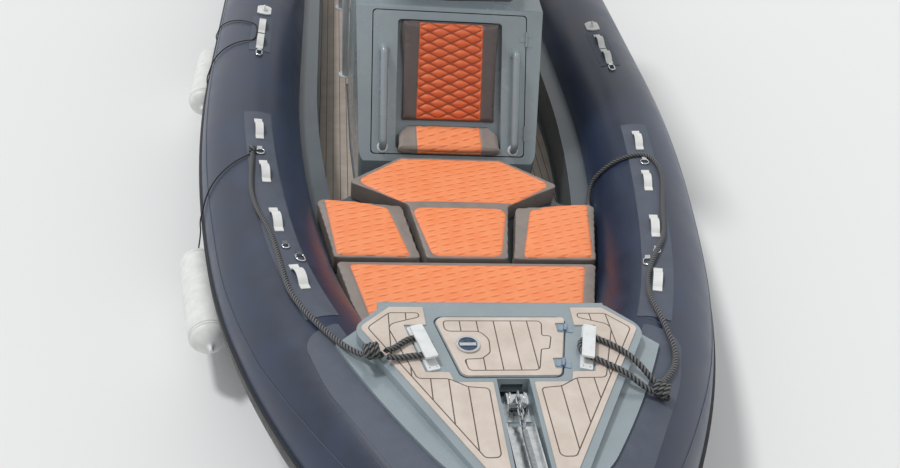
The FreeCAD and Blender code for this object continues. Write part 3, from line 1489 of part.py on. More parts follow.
# Columns: y, angle round the collar, extra height where the rope crosses a ring or the deck's flange
starboard_rope_rows = [
    (-1402.0, 2.0, 0.0), (-1480.0, 3.4, 0.0), (-1600.0, 6.2, 0.0), (-1760.0, 9.3, 0.0),
    (-1937.0, 7.4, 0.0),
    (-2090.0, 1.8, 0.0), (-2272.0, 1.6, 0.0), (-2444.0, 4.1, 0.0), (-2604.0, 7.3, 0.0),
    (-2727.0, 5.9, 0.0),
    (-2836.0, 3.4, 1.0), (-2937.0, 0.2, 6.0), (-3017.0, -1.6, 17.0), (-3092.0, -4.0, 29.0),
    (-3160.0, -9.0, 38.0),
    (-3185.0, -9.5, 80.0),
]
port_rope_rows = [
    (-3288.0, 10.8, 17.0), (-3262.0, 9.0, 8.0), (-3198.0, 12.4, 2.0), (-3123.0, 15.8, 0.0),
    (-3052.0, 15.0, 0.0), (-2987.0, 11.0, 0.0),
    (-2924.0, 5.1, 0.0), (-2840.0, -1.6, 0.0), (-2735.0, -10.3, 0.0), (-2640.0, -15.2, 0.0),
    (-2536.0, -16.4, 0.0),
    (-2432.0, -15.2, 3.0), (-2345.0, -11.0, 11.0), (-2240.0, -6.4, 12.0), (-2130.0, -0.6, 3.0),
    (-1990.0, 1.3, 0.0),
    (-1822.0, 2.8, 0.0), (-1659.0, 7.1, 0.0), (-1514.0, 9.3, 0.0), (-1438.0, 8.4, 0.0),
    (-1380.0, 5.0, 0.0),
    (-1335.0, 1.0, 0.0), (-1312.0, -6.5, 0.0), (-1310.0, -17.0, 0.0), (-1317.0, -31.0, 0.0),
    (-1325.0, -47.0, 0.0),
    (-1331.0, -63.0, 0.0), (-1338.0, -76.0, 0.0),
]
port_rope_tail = [(834.0, -1356.0, 478.0), (827.0, -1410.0, 469.0), (818.0, -1462.0, 468.8),
                  (806.0, -1500.0, 468.6)]
# Points in the bow deck's frame: from the knot round the cleat's bar and back
port_loop_rows = [
    (603.0, -462.0, -30.0), (581.0, -432.0, -17.0), (552.0, -390.0, 3.0), (519.0, -343.0, 15.0),
    (487.0, -302.0, 15.5),
    (453.0, -268.0, 15.0), (421.0, -243.0, 14.5), (392.0, -225.0, 14.0), (362.0, -223.0, 14.0),
    (332.0, -237.0, 14.0),
    (313.0, -267.0, 14.0), (313.0, -307.0, 14.0), (331.0, -334.0, 14.0), (361.0, -352.0, 14.5),
    (400.0, -380.0, 15.0),
    (440.0, -412.0, 15.5), (478.0, -443.0, 12.0), (513.0, -470.0, -4.0), (545.0, -490.0, -19.0),
    (574.0, -500.0, -32.0),
]
starboard_loop_rows = [
    (-508.0, -318.0, 30.0), (-487.0, -303.0, 21.0), (-463.0, -281.0, 15.5), (-436.0, -255.0, 15.0),
    (-410.0, -233.0, 14.5),
    (-383.0, -222.0, 14.0), (-353.0, -226.0, 14.0), (-328.0, -243.0, 14.0), (-316.0, -271.0, 14.0),
    (-321.0, -301.0, 14.0),
    (-343.0, -322.0, 14.0), (-372.0, -330.0, 14.5), (-405.0, -334.0, 15.0), (-440.0, -342.0, 15.5),
    (-473.0, -350.0, 20.0),
    (-500.0, -352.0, 27.0),
]


def deck_points(rows):
    return [tuple(deck_frame.multVec(Vec(*row))) for row in rows]


def collar_points(rows, side):
    base = tube_radius + patch_thickness + rope_radius + rope_lift
    return [on_collar(y, angle, base + extra, side) for y, angle, extra in rows]


def rope_routes():
    return {
        "rope_port": collar_points(port_rope_rows, 1) + port_rope_tail,
        "rope_starboard": collar_points(starboard_rope_rows, -1),
        "rope_loop_port": deck_points(port_loop_rows),
        "rope_loop_starboard": deck_points(starboard_loop_rows),
    }


# Columns: middle and long axis in the bow deck's frame, length, radius
knot_rows = [
    ((618.0, -492.0, -34.0), (0.86, -0.46, -0.12), 120.0, 37.0),
    ((-562.0, -322.0, 32.4), (0.93, 0.30, -0.05), 116.0, 37.0),
]
hitch_y = -1378.0
hitch_angle = 1.6
hitch_radius = 19.0
hitch_length = 40.0


def barrel(middle, axis, length, radius):
    """Rounded body of a knot: thick in the middle, tapered to its ends."""
    axis = Vec(*axis).normalize()
    middle = Vec(*middle)
    taper = length * 0.28
    body = cylinder_between(middle - axis * (length / 2 - taper), middle + axis * (length / 2 - taper),
                            radius)
    ends = [Part.makeCone(radius * 0.55, radius, taper, middle - axis * (sign * length / 2),
                          axis * sign) for sign in (1, -1)]
    return body.fuse(ends).removeSplitter()


def rope_knots(carriers):
    """Knots that join each loop to its rope, and the hitch on the starboard ring."""
    shapes = [placed(barrel(middle, axis, length, radius), deck_frame) for middle, axis, length,
              radius in knot_rows]
    at = collar_distance(hitch_y)
    point, heading, up = collar_frame(at)
    stand = tube_radius + patch_thickness + hitch_radius + seat_gap
    middle = point + collar_direction(at, hitch_angle) * stand
    hitch = barrel(middle, heading, hitch_length, hitch_radius)
    shapes.append(hitch.mirror(Vec(0, 0, 0), Vec(1, 0, 0)))
    return Part.Compound([shape.cut(carriers) for shape in shapes])


def main():
    port, starboard = both_sides(port_tube(0.0))
    tubes = Part.Compound([port, starboard])
    centre, sides, forward = lounge_pieces(tubes)
    hull_form = hull([port, starboard])
    deck = bow_deck(both_sides(port_tube(seat_gap)))
    patches = collar_patches()
    nodes = {
        "tube_port": port,
        "tube_starboard": starboard,
        "hull": hull_form,
        "bow_eye": bow_eye(hull_form),
        "deck_liner": deck_liner([port, starboard]),
        "bow_deck": deck,
        "bow_deck_teak": bow_teak(),
        "floor_teak": floor_teak(),
        "anchor_hatch": hatch_lid_shape(),
        "hatch_teak": hatch_teak_shape(),
        "hatch_latch": hatch_latch_shape(),
        "hatch_hinge_deck": hatch_hinge(False),
        "hatch_hinge_lid": hatch_hinge(True),
        "bow_cleats": bow_cleats(),
        "windlass": windlass(),
        "bow_roller": bow_roller(),
        "roller_wheel": roller_wheel(),
        "anchor": anchor(),
        "anchor_chain": anchor_chain(),
        "collar_patches": patches,
        "rub_strake": rub_strake(),
        "grab_handles": grab_handles(patches),
        "tow_rings": tow_rings(),
        "lift_pads": lift_pads(port),
        "console": console(),
        "console_door": console_door(),
        "door_backrest": door_backrest(),
        "door_seat": door_seat(),
        "door_rails": door_rails(),
        "door_hinge_console": door_hinge(False),
        "door_hinge_leaf": door_hinge(True),
        "windshield": windshield(),
        "dash_panel": dash_panel(),
        "steering_wheel": steering_wheel(),
        "throttle": throttle(),
        "ttop_frame": ttop_frame(),
        "ttop_canopy": ttop_canopy(),
        "helm_seat": helm_seat(),
        "helm_cushions": helm_cushions(),
        "stern_bench": stern_bench(),
        "stern_cushions": stern_cushions(),
        "centre_cushion": centre,
        "side_cushions": sides,
        "forward_cushion": forward,
        "forward_bolster": forward_bolster(),
        "swim_platforms": swim_platforms(),
        "transom_bracket": transom_bracket(),
        "tilt_swivel": tilt_swivel(),
        "outboard_leg": outboard_leg(),
        "outboard_cowl": outboard_cowl(),
        "propeller": propeller(),
        "fenders": fenders(),
    }
    knots = rope_knots([nodes["tow_rings"], patches, deck, port, starboard])
    nodes["rope_knots"] = knots
    for name, points in rope_routes().items():
        tube = cord_tube(points, rope_radius)
        length = tube.Volume / (math.pi * rope_radius ** 2)
        radii = cord_radii(points)
        print("%s length %.0f least radius %.0f" % (name, length, min(radii)),
              ["%.0f" % value for value in radii])
        nodes[name] = tube.cut(knots)
    os.makedirs("parts", exist_ok=True)
    for name, shape in nodes.items():
        shape.exportStep("parts/%s.step" % name)
        litres = sum(s.Volume for s in shape.Solids) / 1e6
        print("%-20s solids %d litres %.2f valid %s" % (name, len(shape.Solids), litres, shape.isValid()))


main()
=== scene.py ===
import bpy
import bmesh
import json
import math
import numpy as np
from mathutils import Matrix, Vector


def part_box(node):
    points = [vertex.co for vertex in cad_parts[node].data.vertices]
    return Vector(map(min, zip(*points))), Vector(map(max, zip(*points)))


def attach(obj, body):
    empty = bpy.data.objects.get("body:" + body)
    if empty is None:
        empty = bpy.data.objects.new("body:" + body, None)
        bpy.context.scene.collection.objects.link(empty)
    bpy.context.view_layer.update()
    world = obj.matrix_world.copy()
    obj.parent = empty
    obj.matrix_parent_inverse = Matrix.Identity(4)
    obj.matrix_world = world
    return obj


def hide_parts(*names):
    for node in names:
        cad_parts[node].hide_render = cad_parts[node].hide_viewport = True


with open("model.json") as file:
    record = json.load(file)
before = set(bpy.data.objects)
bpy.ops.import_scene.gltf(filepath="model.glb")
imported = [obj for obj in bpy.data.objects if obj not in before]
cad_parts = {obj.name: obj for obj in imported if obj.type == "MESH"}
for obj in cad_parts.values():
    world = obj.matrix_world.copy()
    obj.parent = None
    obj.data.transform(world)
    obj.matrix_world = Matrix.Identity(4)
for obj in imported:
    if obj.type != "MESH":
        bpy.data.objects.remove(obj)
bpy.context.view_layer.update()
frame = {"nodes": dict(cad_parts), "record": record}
nodes = frame["nodes"]
scene = bpy.context.scene
print("frame loaded:", len(nodes), "nodes")


def addNode(tree, kind, links=None, **settings):
    # an input is given a socket, a node for its first output, or a value
    node = tree.nodes.new(kind)
    for key, value in settings.items():
        setattr(node, key, value)
    for key, value in (links or {}).items():
        if isinstance(value, bpy.types.Node):
            value = value.outputs[0]
        if isinstance(value, bpy.types.NodeSocket):
            tree.links.new(value, node.inputs[key])
        else:
            node.inputs[key].default_value = value
    return node


def linearColour(hexValue):
    parts = [int(hexValue[k:k + 2], 16) / 255 for k in (1, 3, 5)]
    return [p / 12.92 if p <= 0.04045 else ((p + 0.055) / 1.055) ** 2.4 for p in parts] + [1.0]


def finishObject(name, mesh, material=None, sharpAngle=40.0):
    mesh.name = name
    piece = bpy.data.objects.new(name, mesh)
    scene.collection.objects.link(piece)
    if material:
        mesh.materials.clear()
        mesh.materials.append(material)
    mesh.polygons.foreach_set("use_smooth", [True] * len(mesh.polygons))
    if sharpAngle < 180.0:
        mesh.set_sharp_from_angle(angle=math.radians(sharpAngle))
    return piece


def makeObject(name, points, faces, material=None, sharpAngle=40.0):
    mesh = bpy.data.meshes.new(name)
    mesh.from_pydata([tuple(p) for p in points], [], faces)
    return finishObject(name, mesh, material, sharpAngle)


def bakedMesh(piece):
    # the piece with its modifiers applied, as a plain mesh
    bpy.context.view_layer.update()
    return bpy.data.meshes.new_from_object(piece.evaluated_get(bpy.context.evaluated_depsgraph_get()))


def settle(piece):
    # applies every modifier and leaves the piece plain
    mesh = bakedMesh(piece)
    piece.modifiers.clear()
    piece.data = mesh
    return piece


def mendMesh(mesh, merge=False, turn=True):
    # merges doubles, then turns the faces outwards
    work = bmesh.new()
    work.from_mesh(mesh)
    if merge:
        bmesh.ops.remove_doubles(work, verts=work.verts, dist=1e-5)
    if turn:
        bmesh.ops.recalc_face_normals(work, faces=work.faces)
    work.to_mesh(mesh)
    work.free()
    return mesh


def ringFaces(rings, count, closed=True):
    # faces between rings of count points each, and over both ends
    faces = [(j * count + k, j * count + (k + 1) % count, (j + 1) * count + (k + 1) % count, (j + 1) * count + k)
             for j in range(rings - 1) for k in range(count)]
    if closed:
        faces += [tuple(range(count))[::-1], tuple(range((rings - 1) * count, rings * count))]
    return faces


def planeAxes(plane):
    origin, *axes = [np.array(v, float) for v in plane]
    return np.stack(axes), origin


def onPlane(plane, places):
    # places given along a panel's right, upward and outward directions
    axes, origin = planeAxes(plane)
    return np.array(places, float) @ axes + origin


def fitPiece(piece, body, slot, *replaced):
    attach(piece, body)
    for node in replaced:
        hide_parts(node)
    return piece


cameraLook = {
    "place": (-0.763, -5.609, 3.670),
    "right": (0.99008514, -0.09826873, 0.10037268),
    "forward": (0.1396733, 0.76464896, -0.62912903),
    "lens": 35.944,  # mm, on a sensor 36 mm wide
}


def makeCamera(look):
    data = bpy.data.cameras.new("quayCamera")
    data.sensor_width = 36.0
    data.lens = look["lens"]
    forward = Vector(look["forward"]).normalized()
    right = Vector(look["right"])
    right = (right - forward * right.dot(forward)).normalized()
    up = right.cross(forward)
    camera = bpy.data.objects.new("quayCamera", data)
    camera.matrix_world = Matrix.Translation(look["place"]) @ Matrix((right, up, -forward)).transposed().to_4x4()
    scene.collection.objects.link(camera)
    scene.camera = camera


makeCamera(cameraLook)


# the collar's axis, as the solids have it: heading and climb after each bend in degrees, and its radius in plan
collar = {
    "tube": 0.300,
    "start": (1.240, 3.700, 0.455),
    "bendStart": -0.100,
    "bends": [(8.0, 0.0, 9.2), (12.0, 3.0, 9.2), (19.0, 7.5, 4.6), (34.0, 5.5, 4.6), (90.0, 0.0, None)],
    "step": 0.01,
    "crown": -7.7,  # angle of the handles' line, from straight up towards outboard
}


def collarFrames(look):
    point = Vector(look["start"])
    heading, up = Vector((0, -1, 0)), Vector((0, 0, 1))
    rows = []
    length = point.y - look["bendStart"]
    steps = round(length / look["step"])
    for k in range(steps):
        rows.append((point + heading * (length * k / steps), heading, up))
    point = point + heading * length
    turned = 0.0
    for turn, climb, planRadius in look["bends"]:
        a, b = math.radians(turn), math.radians(climb)
        target = Vector((-math.sin(a) * math.cos(b), -math.cos(a) * math.cos(b), math.sin(b)))
        angle = heading.angle(target)
        if planRadius is None:
            radius = -point.x / ((heading + target) * math.tan(angle / 2)).x
        else:
            radius = planRadius * math.radians(turn - turned) / angle
        axis = heading.cross(target).normalized()
        centre = point + axis.cross(heading) * radius
        steps = round(radius * angle / look["step"])
        for k in range(steps + 1):
            spin = Matrix.Rotation(angle * k / steps, 3, axis)
            rows.append((centre + spin @ (point - centre), spin @ heading, spin @ up))
        point, heading, up = rows.pop()
        turned = turn
    rows.append((point, heading, up))
    return rows


collarRows = collarFrames(collar)
collarY = np.array([-row[0].y for row in collarRows])


def collarFrame(y):
    # point, heading and up of the port side's axis where it passes y
    place = float(np.interp(-y, collarY, np.arange(len(collarY))))
    k = min(int(place), len(collarRows) - 2)
    return [a.lerp(b, place - k) for a, b in zip(collarRows[k], collarRows[k + 1])]


def onCollar(y, angle, out, side=1):
    point, heading, up = collarFrame(y)
    a = math.radians(angle)
    place = point + (up * math.cos(a) + up.cross(heading).normalized() * math.sin(a)) * out
    return Vector((side * place.x, place.y, place.z))


# mooring ropes: three-strand polyester, 22 mm and slack in its lay, in the routes that the solids have
ropeLook = {"thickness": 0.022, "lay": 0.056, "strand": 0.0067, "strandOut": 0.0065, "step": 0.004}
ropeRoutes = {
    "rope_port": [
        (0.6226, -3.2819, 0.9482), (0.6268, -3.2505, 0.9374), (0.6773, -3.1946, 0.9204), (0.7327, -3.1267, 0.9047),
        (0.7649, -3.0519, 0.8964), (0.7770, -2.9757, 0.8921), (0.7769, -2.8978, 0.8874), (0.7798, -2.7983, 0.8764),
        (0.7782, -2.6760, 0.8564), (0.7892, -2.5732, 0.8371), (0.8193, -2.4692, 0.8212), (0.8566, -2.3729, 0.8134),
        (0.9020, -2.2959, 0.8175), (0.9547, -2.2033, 0.8130), (1.0133, -2.1074, 0.7979), (1.0536, -1.9757, 0.7867),
        (1.0945, -1.8135, 0.7791), (1.1466, -1.6585, 0.7722), (1.1817, -1.5185, 0.7681), (1.1881, -1.4433, 0.7682),
        (1.1778, -1.3838, 0.7703), (1.1622, -1.3357, 0.7715), (1.1243, -1.3073, 0.7695), (1.0684, -1.2978, 0.7577),
        (0.9976, -1.2954, 0.7263), (0.9287, -1.2942, 0.6709), (0.8778, -1.2933, 0.5987), (0.8520, -1.2967, 0.5316),
        (0.8340, -1.3560, 0.4780), (0.8270, -1.4100, 0.4690), (0.8180, -1.4620, 0.4688), (0.8060, -1.5000, 0.4686),
    ],
    "rope_starboard": [
        (-1.1584, -1.4030, 0.7713), (-1.1548, -1.4802, 0.7713), (-1.1515, -1.5999, 0.7716),
        (-1.1409, -1.7596, 0.7733), (-1.0971, -1.9309, 0.7816), (-1.0352, -2.0725, 0.7922),
        (-0.9902, -2.2464, 0.8060), (-0.9547, -2.4153, 0.8231), (-0.9184, -2.5778, 0.8425),
        (-0.8645, -2.6999, 0.8603), (-0.8070, -2.8049, 0.8771), (-0.7466, -2.8991, 0.8957),
        (-0.7002, -2.9740, 0.9168), (-0.6507, -3.0416, 0.9373), (-0.5884, -3.0949, 0.9505),
        (-0.5675, -3.1105, 0.9940),
    ],
    "rope_loop_port": [
        (0.6030, -3.2629, 0.9563), (0.5810, -3.2320, 0.9669), (0.5520, -3.1886, 0.9836), (0.5190, -3.1408, 0.9919),
        (0.4870, -3.0999, 0.9891), (0.4530, -3.0660, 0.9860), (0.4210, -3.0411, 0.9835), (0.3920, -3.0232, 0.9816),
        (0.3620, -3.0212, 0.9815), (0.3320, -3.0352, 0.9826), (0.3130, -3.0651, 0.9849), (0.3130, -3.1050, 0.9880),
        (0.3310, -3.1319, 0.9902), (0.3610, -3.1498, 0.9921), (0.4000, -3.1777, 0.9948), (0.4400, -3.2095, 0.9978),
        (0.4780, -3.2407, 0.9967), (0.5130, -3.2689, 0.9829), (0.5450, -3.2900, 0.9695), (0.5740, -3.3010, 0.9573),
    ],
    "rope_loop_starboard": [
        (-0.5080, -3.1147, 1.0049), (-0.4870, -3.1004, 0.9947), (-0.4630, -3.0789, 0.9875),
        (-0.4360, -3.0530, 0.9850), (-0.4100, -3.0311, 0.9827), (-0.3830, -3.0202, 0.9814),
        (-0.3530, -3.0242, 0.9817), (-0.3280, -3.0412, 0.9830), (-0.3160, -3.0691, 0.9852),
        (-0.3210, -3.0990, 0.9876), (-0.3430, -3.1199, 0.9892), (-0.3720, -3.1278, 0.9903),
        (-0.4050, -3.1318, 0.9912), (-0.4400, -3.1397, 0.9923), (-0.4730, -3.1474, 0.9974),
        (-0.5000, -3.1488, 1.0045),
    ],
}


def softLine(name, points, bevel=0.0):
    # one smooth spline with the route's points as its control points
    curve = bpy.data.curves.new(name, "CURVE")
    curve.dimensions = "3D"
    spline = curve.splines.new("NURBS")
    spline.points.add(len(points) - 1)
    for target, place in zip(spline.points, points):
        target.co = (*place, 1.0)
    spline.order_u = 3
    spline.use_endpoint_u = True
    spline.resolution_u = 10
    curve.bevel_depth = bevel
    curve.bevel_resolution = 3
    curve.use_fill_caps = bevel > 0
    piece = bpy.data.objects.new(name, curve)
    scene.collection.objects.link(piece)
    return piece


def linePoints(name, points):
    piece = softLine(name, points)
    mesh = bakedMesh(piece)
    places = [vertex.co.copy() for vertex in mesh.vertices]
    bpy.data.objects.remove(piece)
    return places


def pathMesh(name, places):
    mesh = bpy.data.meshes.new(name)
    mesh.from_pydata([tuple(p) for p in places], [(k, k + 1) for k in range(len(places) - 1)], [])
    return mesh


def lineLength(places):
    return sum((Vector(b) - Vector(a)).length for a, b in zip(places, places[1:]))


def treeSocket(tree, label):
    items = tree.interface.items_tree
    return next(item.identifier for item in items if item.name == label and item.in_out == "INPUT")


def makeTree(name, inputs):
    tree = bpy.data.node_groups.new(name, "GeometryNodeTree")
    tree.interface.new_socket(name="Geometry", in_out="OUTPUT", socket_type="NodeSocketGeometry")
    tree.interface.new_socket(name="Geometry", in_out="INPUT", socket_type="NodeSocketGeometry")
    for label, kind in inputs.items():
        tree.interface.new_socket(name=label, in_out="INPUT", socket_type=kind)
    return tree, addNode(tree, "NodeGroupInput")


def strandTree():
    # three strands wound round the path, each a small round section
    tree, given = makeTree("threeStrands", {
        "Step": "NodeSocketFloat", "Lay": "NodeSocketFloat", "Strand out": "NodeSocketFloat",
        "Strand radius": "NodeSocketFloat", "Finish": "NodeSocketMaterial"})
    path = addNode(tree, "GeometryNodeMeshToCurve", {"Mesh": given.outputs["Geometry"]})
    even = addNode(tree, "GeometryNodeResampleCurve", {"Curve": path, "Length": given.outputs["Step"]}, mode="LENGTH")
    along = addNode(tree, "GeometryNodeSplineParameter")
    turns = addNode(tree, "ShaderNodeMath", {0: along.outputs["Length"], 1: given.outputs["Lay"]}, operation="DIVIDE")
    normal = addNode(tree, "GeometryNodeInputNormal")
    tangent = addNode(tree, "GeometryNodeInputTangent")
    section = addNode(tree, "GeometryNodeCurvePrimitiveCircle",
        {"Resolution": 8, "Radius": given.outputs["Strand radius"]})
    around = addNode(tree, "GeometryNodeStoreNamedAttribute", {
        "Geometry": section, "Name": "around", "Value": along.outputs["Factor"]}, data_type="FLOAT", domain="POINT")
    joined = addNode(tree, "GeometryNodeJoinGeometry")
    here = addNode(tree, "GeometryNodeInputPosition")
    for k in range(3):
        angle = addNode(tree, "ShaderNodeMath", {0: turns, 1: math.tau, 2: math.tau * k / 3},
            operation="MULTIPLY_ADD")
        side = addNode(tree, "ShaderNodeVectorRotate", {
            "Vector": normal, "Axis": tangent, "Angle": angle}, rotation_type="AXIS_ANGLE")
        offset = addNode(tree, "ShaderNodeVectorMath", {0: side, "Scale": given.outputs["Strand out"]},
            operation="SCALE")
        marked = addNode(tree, "GeometryNodeStoreNamedAttribute", {
            "Geometry": even, "Name": "along", "Value": along.outputs["Length"]}, data_type="FLOAT", domain="POINT")
        cored = addNode(tree, "GeometryNodeStoreNamedAttribute", {
            "Geometry": marked, "Name": "core", "Value": here}, data_type="FLOAT_VECTOR", domain="POINT")
        moved = addNode(tree, "GeometryNodeSetPosition", {"Geometry": cored, "Offset": offset})
        strand = addNode(tree, "GeometryNodeCurveToMesh", {
            "Curve": moved, "Profile Curve": around, "Fill Caps": True})
        tree.links.new(strand.outputs[0], joined.inputs[0])
    # how far each point stands from the rope's middle, for the painted highlight on the strands' crests
    core = addNode(tree, "GeometryNodeInputNamedAttribute", {"Name": "core"}, data_type="FLOAT_VECTOR")
    away = addNode(tree, "ShaderNodeVectorMath", {0: here, 1: core}, operation="DISTANCE")
    crested = addNode(tree, "GeometryNodeStoreNamedAttribute", {
        "Geometry": joined, "Name": "crest", "Value": away.outputs["Value"]}, data_type="FLOAT", domain="POINT")
    whole = addNode(tree, "GeometryNodeRealizeInstances", {"Geometry": crested})
    coated = addNode(tree, "GeometryNodeSetMaterial", {"Geometry": whole, "Material": given.outputs["Finish"]})
    addNode(tree, "NodeGroupOutput", {0: coated})
    return tree


strandNodes = strandTree()


def runTree(name, mesh, tree, values):
    piece = bpy.data.objects.new(name, mesh)
    scene.collection.objects.link(piece)
    modifier = piece.modifiers.new("build", "NODES")
    modifier.node_group = tree
    for label, value in values.items():
        modifier[treeSocket(tree, label)] = value
    mesh = bakedMesh(piece)
    bpy.data.objects.remove(piece)
    return mesh


def windRope(name, places, look):
    mesh = runTree(name, pathMesh(name + "Path", places), strandNodes, {
        "Step": look["step"], "Lay": look["lay"], "Strand out": look["strandOut"], "Strand radius": look["strand"],
        "Finish": finish["twistedPolyester"]})
    return finishObject(name, mesh, finish["twistedPolyester"], 180.0)


def startFinish(name):
    material = bpy.data.materials.new(name)
    material.use_nodes = True
    tree = material.node_tree
    tree.nodes.clear()
    shader = addNode(tree, "ShaderNodeBsdfPrincipled")
    addNode(tree, "ShaderNodeOutputMaterial", {"Surface": shader})
    return material, tree, shader


def plainFinish(name, colour, shadeTo, driftSize, roughFrom, roughTo, grainSize, grainRelief, settings={},
        planks=None):
    # colour drifts between two shades, gloss drifts with it, and a fine grain is raised from the surface
    material, tree, shader = startFinish(name)
    place = addNode(tree, "ShaderNodeTexCoord").outputs["Object"]
    drift = addNode(tree, "ShaderNodeTexNoise", {
        "Vector": place, "Scale": 1000.0 / driftSize, "Detail": 5.0, "Roughness": 0.6})
    spread = addNode(tree, "ShaderNodeMapRange", {"Value": drift.outputs["Fac"], "From Min": 0.35, "From Max": 0.65})
    shade = addNode(tree, "ShaderNodeMix", {
        "Factor": spread, 6: linearColour(colour), 7: linearColour(shadeTo)}, data_type="RGBA")
    gloss = addNode(tree, "ShaderNodeMapRange", {
        "Value": spread, "To Min": roughFrom, "To Max": roughTo})
    grain = addNode(tree, "ShaderNodeTexNoise", {
        "Vector": place, "Scale": 1000.0 / grainSize, "Detail": 3.0})
    relief = addNode(tree, "ShaderNodeBump", {
        "Height": grain.outputs["Fac"], "Strength": grainRelief, "Distance": grainSize / 1000.0})
    if planks:
        # routed lines along the boat, every so many metres across it
        pitch, wide, line = planks
        across = addNode(tree, "ShaderNodeSeparateXYZ", {0: place})
        lane = addNode(tree, "ShaderNodeMath", {0: across.outputs["X"], 1: pitch / 2}, operation="PINGPONG")
        cut = addNode(tree, "ShaderNodeMath", {0: lane, 1: wide / 2}, operation="LESS_THAN")
        shade = addNode(tree, "ShaderNodeMix", {"Factor": cut, 6: shade.outputs[2], 7: linearColour(line)},
            data_type="RGBA")
    tree.links.new(shade.outputs[2], shader.inputs["Base Color"])
    tree.links.new(gloss.outputs[0], shader.inputs["Roughness"])
    tree.links.new(relief.outputs[0], shader.inputs["Normal"])
    for socket, value in settings.items():
        shader.inputs[socket].default_value = value
    return material, tree, shader, shade


finishes = {  # two shades, size of the drift between them in mm, roughness from and to, grain in mm, its relief, more
    # coated neoprene fabric of the collar, calendered: a dull navy-black with a wide soft shine; part of its blue,
    # and the blue tint of its shine, is a painted sky reflection
    "coatedNeoprene": ("#182236", "#212e47", 260, 0.32, 0.42, 2.5, 0.1,
        {"Sheen Weight": 0.12, "Sheen Roughness": 0.5, "Sheen Tint": linearColour("#7d90b8")}),
    # the same fabric with a pressed diamond texture, under handles and feet: greyer and dry
    "texturedNeoprene": ("#474e5b", "#535a68", 120, 0.6, 0.72, 4, 0.35),
    # extruded EPDM fender strip: matt black with a greasy shine on its edges
    "extrudedRubber": ("#1c1e21", "#26282c", 90, 0.42, 0.58, 3, 0.12),
    # polished gelcoat of the inner mouldings: cool blue-grey, glossy, with a faint orange peel
    "greyGelcoat": ("#87949a", "#909da3", 320, 0.2, 0.3, 9, 0.03, {"Coat Weight": 0.4, "Coat Roughness": 0.12}),
    # the same moulding under the planks and along the tubes, painted darker as shade for the coaming that lies in the
    # tubes' and console's shadow
    "shadedGelcoat": ("#4b5359", "#545d63", 300, 0.3, 0.42, 6, 0.06, {"Coat Weight": 0.2, "Coat Roughness": 0.2}),
    "paleGelcoat": ("#b4bfc4", "#bcc7cb", 380, 0.2, 0.32, 9, 0.03, {"Coat Weight": 0.4, "Coat Roughness": 0.12}),
    # closed-cell EVA foam decking, brushed: pale beige, dry, bleached in patches
    "foamDecking": ("#c8bbaf", "#d6cac0", 110, 0.62, 0.74, 2, 0.25),
    # the same foam between the tubes, a darker brownish grey
    "walkwayFoam": ("#a69a8e", "#b8aca0", 160, 0.6, 0.72, 2, 0.3, {}, (0.047, 0.0045, "#4f443d")),
    # dark core of the foam, laid open by the router as lines
    "routedLine": ("#54473f", "#61534a", 50, 0.6, 0.7, 2, 0.1),
    # polished 316 stainless: bright, with faint brushing and small tea stains
    "polishedStainless": ("#c9cccd", "#b6babc", 35, 0.14, 0.26, 1.5, 0.04, {"Metallic": 1.0}),
    # hot-dip zinc: dull grey with mottled spangle
    "hotDipZinc": ("#9a9ea1", "#7f8487", 14, 0.38, 0.55, 2.5, 0.12, {"Metallic": 0.9}),
    # cast aluminium under white enamel: bright, glossy, chalked on its edges
    "whiteEnamel": ("#e6e8e8", "#d5d9db", 45, 0.24, 0.36, 1.5, 0.06),
    # pressed hinge leaves of brushed stainless, dull; their bluish tint is a painted sky reflection
    "skyTintedStainless": ("#8697a8", "#9aa8b6", 22, 0.34, 0.46, 0.8, 0.08, {"Metallic": 0.75}),
    # the latch's dish: dark blue-grey steel with a deep shine
    "blueGreyLatchSteel": ("#3d4a62", "#56647c", 18, 0.18, 0.3, 1, 0.08, {"Metallic": 0.8}),
    # bonded display glass, switched off: black with a clean shine
    "displayGlass": ("#0b0d10", "#101317", 120, 0.05, 0.1, 6, 0.01, {"Coat Weight": 0.5, "Coat Roughness": 0.03}),
    # glued seam tape of the collar: the same fabric on edge, a tone paler along its cut
    "cutTape": ("#3a4655", "#465364", 60, 0.45, 0.55, 2.5, 0.08),
    # moulded white PVC and webbing: bright, slightly chalky
    "whitePvc": ("#e4e5e3", "#d6d8d6", 60, 0.42, 0.55, 3, 0.08),
    # satin ABS dash and black fittings
    "satinAbs": ("#1b1c1f", "#222327", 80, 0.38, 0.46, 1.2, 0.15),
    # powder-coated aluminium tube: light grey-white, fine orange peel
    "powderCoat": ("#c6cbce", "#ced3d5", 200, 0.34, 0.42, 1.6, 0.08),
    # metallic dark engine paint under clear lacquer
    "enginePaint": ("#2b2f36", "#30353d", 160, 0.26, 0.32, 0.9, 0.05,
        {"Metallic": 0.45, "Coat Weight": 0.8, "Coat Roughness": 0.06}),
    # marine vinyl, grey-brown: leathery grain with a low shine
    "greyVinyl": ("#857b76", "#90867f", 90, 0.46, 0.56, 2.2, 0.22),
    # the same grey vinyl painted darker as shade, for the backrest's wings and the grey upholstery
    "shadedGreyVinyl": ("#564d4b", "#5f5654", 90, 0.46, 0.56, 2.2, 0.22),
    "orangeVinyl": ("#f4824c", "#f68b57", 70, 0.46, 0.56, 2.2, 0.2),
}
finish = {name: plainFinish(name, *row)[0] for name, row in finishes.items()}


